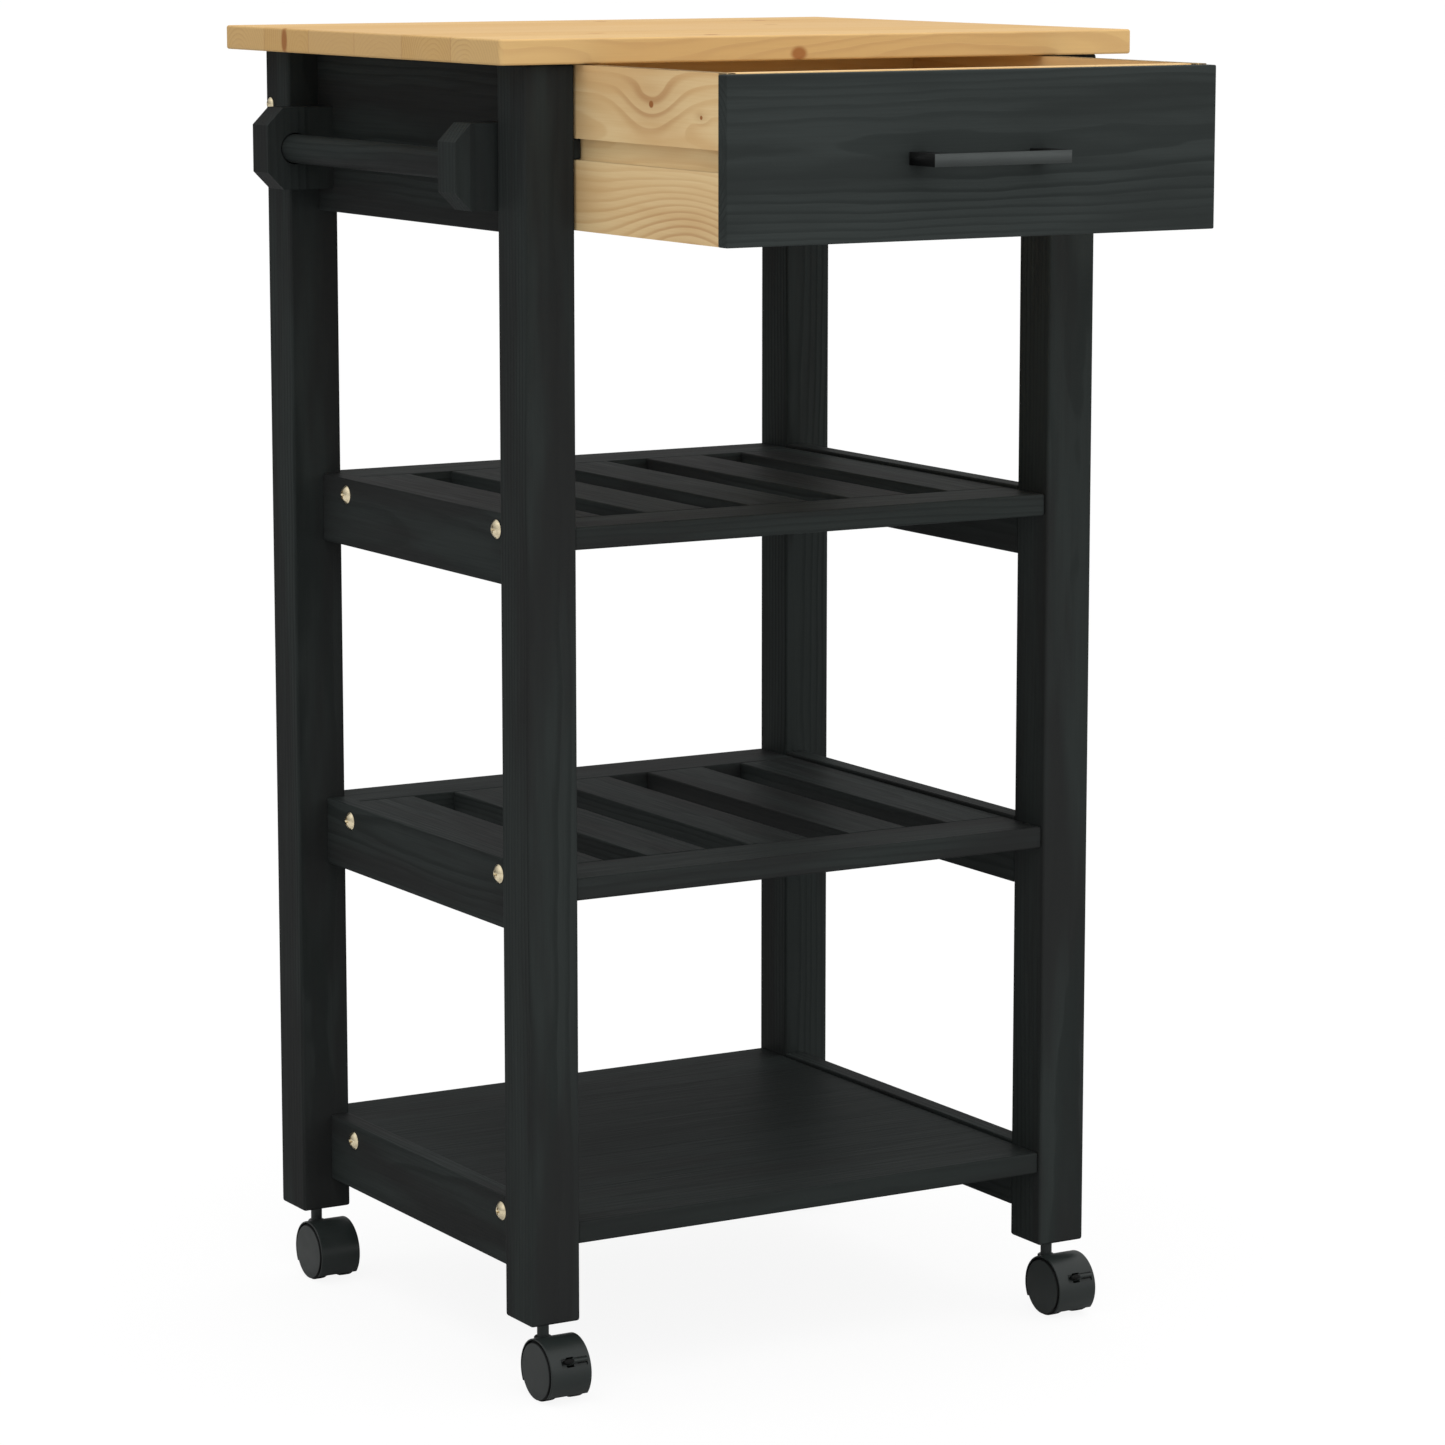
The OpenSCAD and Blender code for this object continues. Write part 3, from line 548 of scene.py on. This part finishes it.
# Reddish marks in the worktop: place along and across it from its middle and its front edge, height
# from its middle, and half sizes
TOP_MARKS = (
    ((-21.8 * MM, 0.0, -4 * MM), (8 * MM, 7 * MM, 6 * MM)),
    ((-243 * MM, 316 * MM, 0.0), (30 * MM, 6 * MM, 12 * MM)),
    ((-120 * MM, 96 * MM, 8 * MM), (9 * MM, 5 * MM, 4 * MM)),
    ((96 * MM, 232 * MM, 8 * MM), (8 * MM, 4 * MM, 4 * MM)),
)
TOP_OFFSET = 2 * MM
pine_top = wood("pine_oiled", PINE_EARLY, PINE_LATE, PINE_KNOT, PINE_STREAK, ring=0.0031, stave=0.070,
                contrast=0.8, roughness=0.5, specular=0.05, wild_knots=0.22,
                marks=[((x, y + TOP_OFFSET, z), half) for (x, y, z), half in TOP_MARKS])
pine_bare = wood("pine_bare", BARE_EARLY, BARE_LATE, PINE_KNOT, BARE_STREAK,
                 contrast=0.7, roughness=0.6, specular=0.1, wild_knots=0.15)
BLACK_EARLY = (0.0250, 0.0292, 0.0283)
BLACK_LATE = (0.0128, 0.0152, 0.0147)
BLACK_STREAK = (0.0172, 0.0202, 0.0195)
BLACK_KNOT = (0.0065, 0.0072, 0.007)
BLACK_PATCH = (0.0178, 0.0183, 0.0182)
black = wood("pine_black_stain", BLACK_EARLY, BLACK_LATE, BLACK_KNOT, BLACK_STREAK,
             contrast=0.75, roughness=0.5, specular=0.015, relief=0.00014, wave=0.016,
             patch=BLACK_PATCH)
black_front = wood("pine_black_stain_front", (0.0318, 0.0372, 0.0360), (0.0170, 0.0204, 0.0197), BLACK_KNOT,
                   (0.0225, 0.0265, 0.0256), contrast=0.8, roughness=0.5, specular=0.03, relief=0.00014,
                   wave=0.010, patch=(0.0215, 0.0250, 0.0242))
black_panel = wood("pine_black_stain_panel", BLACK_EARLY, BLACK_LATE, BLACK_KNOT, BLACK_STREAK,
                   stave=0.0765, contrast=0.6, roughness=0.5, specular=0.015,
                   relief=0.00014, wave=0.012, patch=BLACK_PATCH)
sheet_wood = wood("pine_ply", (0.70, 0.53, 0.31), (0.60, 0.42, 0.22), PINE_KNOT, (0.66, 0.47, 0.25),
                  ring=0.009, contrast=0.5, roughness=0.6, specular=0.1)
dowel_wood = plain_wood("birch_dowel", (0.66, 0.52, 0.33), (0.56, 0.40, 0.22))
plated = metal("zinc_yellow", (0.83, 0.72, 0.50), 0.25)
steel = metal("zinc_plain", (0.60, 0.61, 0.63), 0.35)
nylon = moulded("nylon_black", (0.0122, 0.0154, 0.0147), 0.38, 0.25)
tyre = moulded("tyre_black", (0.0055, 0.006, 0.006), 0.6, 0.15)
# Near-black painted shade for faces that show shade and dark reflection: the handle's sides, top and bottom,
# and the brake levers' thumb pads.
painted_shade_black = moulded("black_matt", (0.003, 0.0034, 0.0033), 0.6, 0.1)
coat = moulded("powder_black", (0.040, 0.045, 0.044), 0.42, 0.12, grit=2600)


# ------------------------------------------------------------------ frame and shelves


def make_worktop():
    """The pine worktop: staves glued side by side, with softly rounded edges and corners."""
    low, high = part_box("worktop")
    bm = bmesh.new()
    box_mesh(bm, low, high)
    upright = [e for e in bm.edges if abs(e.verts[0].co.z - e.verts[1].co.z) > 1 * MM]
    bmesh.ops.bevel(bm, geom=upright, offset=3 * MM, segments=5, profile=0.5, affect="EDGES")
    rounded(bm, 1.6 * MM, 4, 60)
    item = piece("worktop_board", bm, "worktop", pine_top)
    set_grain(item, ALONG_X, low, high, (0.0, 0.5 * (high.y - low.y) + TOP_OFFSET, 0.0))


def make_frame_boards():
    for side in ("left", "right"):
        for end in ("front", "back"):
            board(f"leg_{end}_{side}_post", f"leg_{end}_{side}", black, radius=2.0 * MM)
        board(f"side_apron_{side}_board", f"side_apron_{side}", black, radius=1.2 * MM)
        for level in ("upper", "middle", "lower"):
            board(f"{level}_rail_{side}_board", f"{level}_rail_{side}", black, radius=1.5 * MM)
    board("back_apron_board", "back_apron", black, radius=1.2 * MM)


def make_shelves():
    for level in ("upper", "middle"):
        for end in ("front", "back"):
            board(f"{level}_shelf_{end}_board", f"{level}_shelf_{end}", black, radius=1.6 * MM)
        make_slats(level)
    board("bottom_shelf_panel", "bottom_shelf", black_panel, axis=ALONG_X, radius=1.6 * MM,
          offset=(0.7, 0.1913, 0.0))


SLAT_COUNT = 5
SLAT_WIDTH = 48 * MM
TENON_OVERLAP = 0.2 * MM


def make_slats(level):
    """The five slats of one shelf, one rounded board each, between the two cross boards."""
    node = f"{level}_shelf_slats"
    low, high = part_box(node)
    _, front_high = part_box(f"{level}_shelf_front")
    back_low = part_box(f"{level}_shelf_back")[0]
    pitch = (high.x - low.x - SLAT_WIDTH) / (SLAT_COUNT - 1)
    for i in range(SLAT_COUNT):
        a = Vector((low.x + i * pitch, front_high.y - TENON_OVERLAP, low.z))
        b = Vector((a.x + SLAT_WIDTH, back_low.y + TENON_OVERLAP, high.z))
        bm = bmesh.new()
        box_mesh(bm, a, b)
        rounded(bm, 1.6 * MM)
        item = piece(f"{level}_shelf_slat_{i + 1}", bm, node, black)
        set_grain(item, ALONG_Y, a, b)


# ------------------------------------------------------------------ towel holder


BRACKET_BEVEL = 12 * MM
BAR_RIM = 1.5 * MM
BAR_GAP = 0.9 * MM


def make_towel_holder():
    """Two blocks with cut corners, and the round bar that sits in a slightly wider hole in each."""
    low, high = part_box("towel_bar")
    middle = (low + high) / 2
    radius = (high.z - low.z) / 2
    half = (high.y - low.y) / 2

    def along_bar(r, a, h):
        return middle + Vector((r * math.cos(a), h, r * math.sin(a)))

    outline = [(0, -half), (radius - BAR_RIM, -half), (radius, -half + BAR_RIM), (radius, half - BAR_RIM),
               (radius - BAR_RIM, half), (0, half)]
    bm = bmesh.new()
    turned(bm, outline, along_bar, 64)
    bar = piece("towel_bar_dowel", bm, "towel_bar", black)
    set_grain(bar, ALONG_Y, low, high)
    hole_end = half + BAR_GAP
    hole_radius = radius + BAR_GAP
    hole = [(0, -hole_end), (hole_radius, -hole_end), (hole_radius, hole_end), (0, hole_end)]
    for end in ("front", "back"):
        low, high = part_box(f"towel_bracket_{end}")
        bevel_x = low.x + BRACKET_BEVEL
        outline = [(high.x, low.z), (high.x, high.z), (bevel_x, high.z), (low.x, high.z - BRACKET_BEVEL),
                   (low.x, low.z + BRACKET_BEVEL), (bevel_x, low.z)]
        bm = bmesh.new()
        swept(bm, outline, lambda a, b, t: Vector((a, t, b)), low.y, high.y)
        rounded(bm, 1.4 * MM)
        item = piece(f"towel_bracket_{end}_block", bm, f"towel_bracket_{end}", black)
        cutter = bmesh.new()
        turned(cutter, hole, along_bar, 64)
        cut_away(item, cutter)
        set_grain(item, ALONG_Z, low, high)


# ------------------------------------------------------------------ drawer


# Knots in the left drawer side: distance behind its front end, height in it, radius and reach
DRAWER_KNOTS = ((83.3 * MM, 84.3 * MM, 2.4 * MM, 19 * MM), (21.1 * MM, 78.2 * MM, 1.4 * MM, 4 * MM),
                (34 * MM, -6 * MM, 0.4 * MM, 42 * MM))
DRAWER_SIDE_OFFSET = (0.0, -0.012, 0.034)
GROOVE_DEPTH = 5.5 * MM
GROOVE_ROOM = 0.3 * MM


def drawer_side_wood(side, low, high):
    """Bare pine for one side of the drawer, with its own knots."""
    knots = []
    if side == "left":
        for back, up, radius, reach in DRAWER_KNOTS:
            knots.append((back - (high.y - low.y) / 2 + DRAWER_SIDE_OFFSET[0],
                          up - (high.z - low.z) / 2 + DRAWER_SIDE_OFFSET[1], radius, reach))
    return wood(f"pine_bare_{side}", SIDE_EARLY, SIDE_LATE, PINE_KNOT, SIDE_STREAK, ring=0.0068,
                contrast=0.55, roughness=0.6, specular=0.1, knots=knots, wave=0.045, halo=0.5,
                patch=SIDE_PATCH)


def make_drawer():
    board("drawer_front_panel", "drawer_front", black_front, axis=ALONG_X, radius=1.0 * MM)
    runner_low, runner_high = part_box("drawer_runner_left")
    groove_low, groove_high = runner_low.z - GROOVE_ROOM, runner_high.z + GROOVE_ROOM
    for side, sign in (("left", -1), ("right", 1)):
        low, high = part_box(f"drawer_side_{side}")
        out, inn = (low.x, high.x) if sign < 0 else (high.x, low.x)
        floor_of_groove = out - sign * GROOVE_DEPTH
        outline = [(out, low.z), (inn, low.z), (inn, high.z), (out, high.z), (out, groove_high),
                   (floor_of_groove, groove_high), (floor_of_groove, groove_low), (out, groove_low)]
        bm = bmesh.new()
        swept(bm, outline, lambda a, b, t: Vector((a, t, b)), low.y, high.y)
        rounded(bm, 0.7 * MM, 2)
        item = piece(f"drawer_side_{side}_board", bm, f"drawer_side_{side}",
                     drawer_side_wood(side, low, high))
        set_grain(item, ALONG_Y, low, high, DRAWER_SIDE_OFFSET)
    board("drawer_inner_front_board", "drawer_inner_front", pine_bare, radius=0.8 * MM)
    board("drawer_back_board", "drawer_back", pine_bare, radius=0.8 * MM)
    board("drawer_bottom_sheet", "drawer_bottom", sheet_wood, axis=ALONG_Y, radius=0.3 * MM)
    for side in ("left", "right"):
        board(f"drawer_runner_{side}_strip", f"drawer_runner_{side}", black, radius=0.8 * MM)


HANDLE_FOOT = 12 * MM
HANDLE_BAR = 5 * MM


def make_handle():
    """A flat bar with square feet and slightly rounded edges: satin in front, and near-black painted shade on
    its sides, top and bottom.
    """
    low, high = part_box("drawer_handle")
    left, right, back_of_bar = low.x + HANDLE_FOOT, high.x - HANDLE_FOOT, low.y + HANDLE_BAR
    outline = [(low.x, high.y), (low.x, low.y), (high.x, low.y), (high.x, high.y), (right, high.y),
               (right, back_of_bar), (left, back_of_bar), (left, high.y)]
    bm = bmesh.new()
    swept(bm, outline, lambda a, b, t: Vector((a, b, t)), low.z, high.z)
    rounded(bm, 0.35 * MM, 2)
    item = piece("drawer_handle_bar", bm, "drawer_handle", coat)
    # The second material is near-black painted shade for every face not turned to the front or back. It
    # stands for the dark reflection and shade on the feet's ends, the top and the bottom.
    item.data.materials.append(painted_shade_black)
    for face in item.data.polygons:
        if abs(face.normal.y) < 0.9:
            face.material_index = 1


# ------------------------------------------------------------------ screws


def screw_head(bm, recess, centre, direction, radius, height):
    """Adds a domed head to bm, and the shape of its cross recess, narrower at the bottom, to recess."""
    turn = Vector((0, 0, 1)).rotation_difference(direction).to_matrix()

    def place(x, y, h):
        return centre + turn @ Vector((x, y, h))

    def cross(arm, half, h):
        """The twelve corners of a cross at one height."""
        corners = []
        for x, y in ((1, 1), (-1, 1), (-1, -1), (1, -1)):
            leaf = [(arm, half), (half, half), (half, arm)]
            for a, b in leaf if x == y else leaf[::-1]:
                corners.append(recess.verts.new(place(x * a, y * b, h)))
        return corners

    dome = (radius * radius + height * height) / (2 * height)
    start = math.degrees(math.asin((dome - height) / dome))
    crown = arc_points((0, height - dome), dome, start, 90, 12)
    rim = [(0, -0.2 * MM), (radius * 0.98, -0.2 * MM), (radius, 0.25 * MM)]
    outline = rim + [(r, h) for r, h in crown if r < radius * 0.985]
    turned(bm, outline, lambda r, a, h: place(r * math.cos(a), r * math.sin(a), h), 48)
    above = cross(radius * 0.5, radius * 0.11, height * 1.2)
    below = cross(radius * 0.23, radius * 0.08, height * 0.3)
    for i in range(len(above)):
        j = (i + 1) % len(above)
        recess.faces.new((above[i], above[j], below[j], below[i]))
    recess.faces.new(above)
    recess.faces.new(below[::-1])


# Screws' places along the rails, from their middle, and below their tops
SHELF_SCREWS_ALONG = (-108.5 * MM, 116.5 * MM)
SHELF_SCREWS_DOWN = (11 * MM,)
# Screws' place in the back legs, in from their back faces, and below their tops
APRON_SCREW_IN = 7.5 * MM
APRON_SCREWS_DOWN = (38 * MM, 73.5 * MM)


def make_screws():
    """The heads on the rails and on the back legs. Their shanks stay in the wood."""
    rails = [f"{level}_rail_{side}" for level in ("upper", "middle", "lower") for side in ("left", "right")]
    legs = ["leg_back_left", "leg_back_right"]
    groups = (
        ("shelf_screws", 6.4 * MM, 3.4 * MM, rails, SHELF_SCREWS_ALONG, SHELF_SCREWS_DOWN),
        ("back_apron_screws", 4.6 * MM, 2.6 * MM, legs, None, APRON_SCREWS_DOWN),
    )
    for node, radius, height, boards, places, drops in groups:
        bm, recess = bmesh.new(), bmesh.new()
        for name in boards:
            low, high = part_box(name)
            left = name.endswith("left")
            face = low.x if left else high.x
            middle = (low.y + high.y) / 2
            spots = [middle + p for p in places] if places else [high.y - APRON_SCREW_IN]
            for y in spots:
                for drop in drops:
                    centre = Vector((face, y, high.z - drop))
                    screw_head(bm, recess, centre, Vector((-1 if left else 1, 0, 0)), radius, height)
        cut_away(piece(f"{node}_heads", bm, node, plated), recess)


# ------------------------------------------------------------------ castors


BOSS_TOP = 38.2 * MM
WEB_LOW = 10 * MM
WEB_TOP = 32 * MM
SKIRT = 12.8 * MM
SKIRT_TILT = 7
LEVER_TILT = 26
LEVER_PIVOT = 15.5 * MM
LEVER_REACH = 25.2 * MM
LEVER_FROM, LEVER_TO = -6 * MM, 12 * MM


def cut_away(item, cutter):
    """Takes the cutter's shape out of a piece, before its normals are evened."""
    mesh = bpy.data.meshes.new("cutter")
    bmesh.ops.recalc_face_normals(cutter, faces=cutter.faces)
    cutter.to_mesh(mesh)
    cutter.free()
    tool = bpy.data.objects.new("cutter", mesh)
    bpy.context.scene.collection.objects.link(tool)
    even = item.modifiers.get("even_normals")
    if even:
        item.modifiers.remove(even)
    slot = item.modifiers.new("slot", "BOOLEAN")
    slot.object = tool
    slot.operation = "DIFFERENCE"
    slot.solver = "EXACT"
    slot.use_self = True
    seen = item.evaluated_get(bpy.context.evaluated_depsgraph_get())
    made = bpy.data.meshes.new_from_object(seen)
    item.modifiers.remove(slot)
    made.set_sharp_from_angle(angle=math.radians(40))
    item.data = made
    bpy.data.objects.remove(tool)
    even = item.modifiers.new("even_normals", "WEIGHTED_NORMAL")
    even.keep_sharp = True
    even.weight = 80


def lever_turn(axle):
    """Turns a box given in the lever's own directions (x, outwards, up) to its place on the hood."""
    tilt = Matrix.Rotation(math.radians(-LEVER_TILT), 3, "X")
    return lambda x, out, up: axle + tilt @ Vector((x, -out, up))


def placed_box(bm, place, x, out, up):
    corners = [bm.verts.new(place(a, b, c)) for a in x for b in out for c in up]
    for face in ((0, 1, 3, 2), (4, 6, 7, 5), (0, 4, 5, 1), (2, 3, 7, 6), (0, 2, 6, 4), (1, 5, 7, 3)):
        bm.faces.new([corners[i] for i in face])
    return corners


def make_brake(side):
    """The lever on a front castor: a round thumb pad, a bar beside it, and an arm to its pin."""
    node = f"brake_lever_{side}"
    low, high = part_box(f"axle_front_{side}")
    axle = (low + high) / 2
    place = lever_turn(axle)
    bm = bmesh.new()
    back = LEVER_REACH - 3.4 * MM
    placed_box(bm, place, (LEVER_FROM + 6 * MM, LEVER_TO), (back, LEVER_REACH - 0.5 * MM),
               (-1.3 * MM, 1.3 * MM))
    placed_box(bm, place, (-2.3 * MM, 2.3 * MM), (LEVER_PIVOT, LEVER_REACH - 4.2 * MM), (-2.2 * MM, 1.6 * MM))
    placed_box(bm, place, (-2.3 * MM, 2.3 * MM), (LEVER_PIVOT, LEVER_REACH - 1 * MM), (-1.6 * MM, 1.6 * MM))
    pin = [(0, -4.6 * MM), (1.2 * MM, -4.6 * MM), (1.2 * MM, 4.6 * MM), (0, 4.6 * MM)]
    turned(bm, pin, lambda r, a, h: place(h, LEVER_PIVOT + r * math.cos(a), r * math.sin(a)), 24)
    rounded(bm, 0.25 * MM, 2, 50)
    piece(f"brake_lever_{side}_tab", bm, node, nylon)
    # The thumb pad's near-black colour is painted shade, standing in for the shade seen on the pad.
    centre = LEVER_FROM + 4.1 * MM
    pad = [(0, LEVER_REACH + 0.1 * MM), (3.2 * MM, LEVER_REACH), (3.9 * MM, LEVER_REACH - 0.7 * MM),
           (4 * MM, back), (0, back)]
    bm = bmesh.new()
    turned(bm, pad, lambda r, a, h: place(centre + r * math.cos(a), h, 0.45 * r * math.sin(a)), 40)
    piece(f"brake_lever_{side}_pad", bm, node, painted_shade_black)


def make_wheel(name, node, axle, outwards):
    """A wheel with a rounded tread and a smooth, slightly domed disc a step smaller than the tread."""
    low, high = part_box(node)
    radius = (high.z - low.z) / 2
    inner = abs((low.x if outwards > 0 else high.x) - axle.x)
    outer = abs((high.x if outwards > 0 else low.x) - axle.x)
    step = 0.9 * MM
    outline = [(2.2 * MM, inner), (radius - 5 * MM, inner), (radius - 4.2 * MM, inner + 0.6 * MM),
               (radius - 2 * MM, inner + 0.6 * MM), (radius - 1.2 * MM, inner),
               (radius - 0.5 * MM, inner + 0.15 * MM), (radius - 0.08 * MM, inner + 0.9 * MM),
               (radius, inner + 3 * MM)]
    outline += arc_points((radius - 0.5 * MM, outer - 2.6 * MM), 0.5 * MM, 0, 85, 4)
    outline += [(radius - step, outer - 2.1 * MM)]
    outline += arc_points((radius - step - 0.5 * MM, outer - 0.8 * MM), 0.5 * MM, 0, 80, 5)
    outline += [(radius - 2.4 * MM, outer - 0.26 * MM), (radius * 0.5, outer - 0.08 * MM), (0, outer)]
    spin = about_x(axle)
    bm = bmesh.new()
    turned(bm, outline, lambda r, a, h: spin(r, a, outwards * h), 96)
    item = piece(name, bm, node, nylon)
    item.data.materials.append(tyre)
    for face in item.data.polygons:
        away = face.center - axle
        if math.hypot(away.y, away.z) > radius - step - 0.45 * MM:
            face.material_index = 1


def make_hood(name, node, axle, stem, radius):
    """The hood round both wheels: a shell on a middle web, cut off near the floor, with a boss."""
    low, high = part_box(node)
    half = (high.x - low.x) / 2
    skin = radius + 1.8 * MM
    bay = radius + 0.7 * MM
    web = 5.7 * MM
    edge = 0.6 * MM
    outline = [(1 * MM, -web), (bay, -web), (bay, -half + 0.15 * MM), (bay + 0.15 * MM, -half)]
    outline += arc_points((skin - edge, -half + edge), edge, -90, 0, 5)
    outline += arc_points((skin - edge, half - edge), edge, 0, 90, 5)
    outline += [(bay + 0.15 * MM, half), (bay, half - 0.15 * MM), (bay, web), (1 * MM, web)]
    bm = bmesh.new()
    turned(bm, outline, about_x(axle), 96, closed=True)
    box_mesh(bm, Vector((axle.x - web, axle.y, WEB_LOW)), Vector((axle.x + web, stem.y, WEB_TOP)))
    boss = [(0, WEB_LOW), (web, WEB_LOW), (web, 29 * MM), (6.1 * MM, 31 * MM), (6.1 * MM, 37.6 * MM),
            (5.5 * MM, BOSS_TOP), (0, BOSS_TOP)]
    turned(bm, boss, about_z(Vector((stem.x, stem.y, 0))), 48)
    item = piece(name, bm, node, nylon)
    tilt = Matrix.Rotation(math.radians(SKIRT_TILT), 3, "X")
    cutter = bmesh.new()
    placed_box(cutter, lambda x, y, z: axle + tilt @ Vector((x, y, z)), (-2 * half, 2 * half),
               (-2 * skin, 2 * skin), (-2 * skin, -SKIRT))
    cut_away(item, cutter)
    if name.startswith("hood_front"):
        place = lever_turn(axle)
        cutter = bmesh.new()
        placed_box(cutter, place, (LEVER_FROM - 0.7 * MM, LEVER_TO + 0.7 * MM),
                   (skin - 1.2 * MM, skin + 2 * MM), (-3.6 * MM, 2.4 * MM))
        cut_away(item, cutter)
        cutter = bmesh.new()
        placed_box(cutter, place, (-2.8 * MM, 2.8 * MM), (12 * MM, skin + 2 * MM), (-3.8 * MM, 3.1 * MM))
        cut_away(item, cutter)


def make_castors():
    for end in ("front", "back"):
        for side in ("left", "right"):
            where = f"{end}_{side}"
            low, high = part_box(f"axle_{where}")
            axle = (low + high) / 2
            leg_low, leg_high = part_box(f"leg_{where}")
            stem = (leg_low + leg_high) / 2
            wheel_low, wheel_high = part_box(f"wheel_{where}_a")
            make_hood(f"hood_{where}_shell", f"hood_{where}", axle, stem, (wheel_high.z - wheel_low.z) / 2)
            make_wheel(f"wheel_{where}_a_tyre", f"wheel_{where}_a", axle, -1)
            make_wheel(f"wheel_{where}_b_tyre", f"wheel_{where}_b", axle, 1)
    make_brake("left")
    make_brake("right")


def finish_kept_nodes():
    """CAD nodes whose shape is right keep it and get their materials."""
    looks = {
        "wood_screws": steel, "handle_screws": steel, "drawer_front_screws": steel, "castor_sockets": steel,
        "castor_stems": coat, "frame_dowels": dowel_wood,
    }
    for where in ("front_left", "front_right", "back_left", "back_right"):
        looks[f"axle_{where}"] = steel
    for node, material in looks.items():
        data = nodes[node].data
        data.materials.clear()
        data.materials.append(material)


make_camera()
make_studio()
make_worktop()
make_frame_boards()
make_shelves()
make_towel_holder()
make_drawer()
make_handle()
make_screws()
make_castors()
finish_kept_nodes()
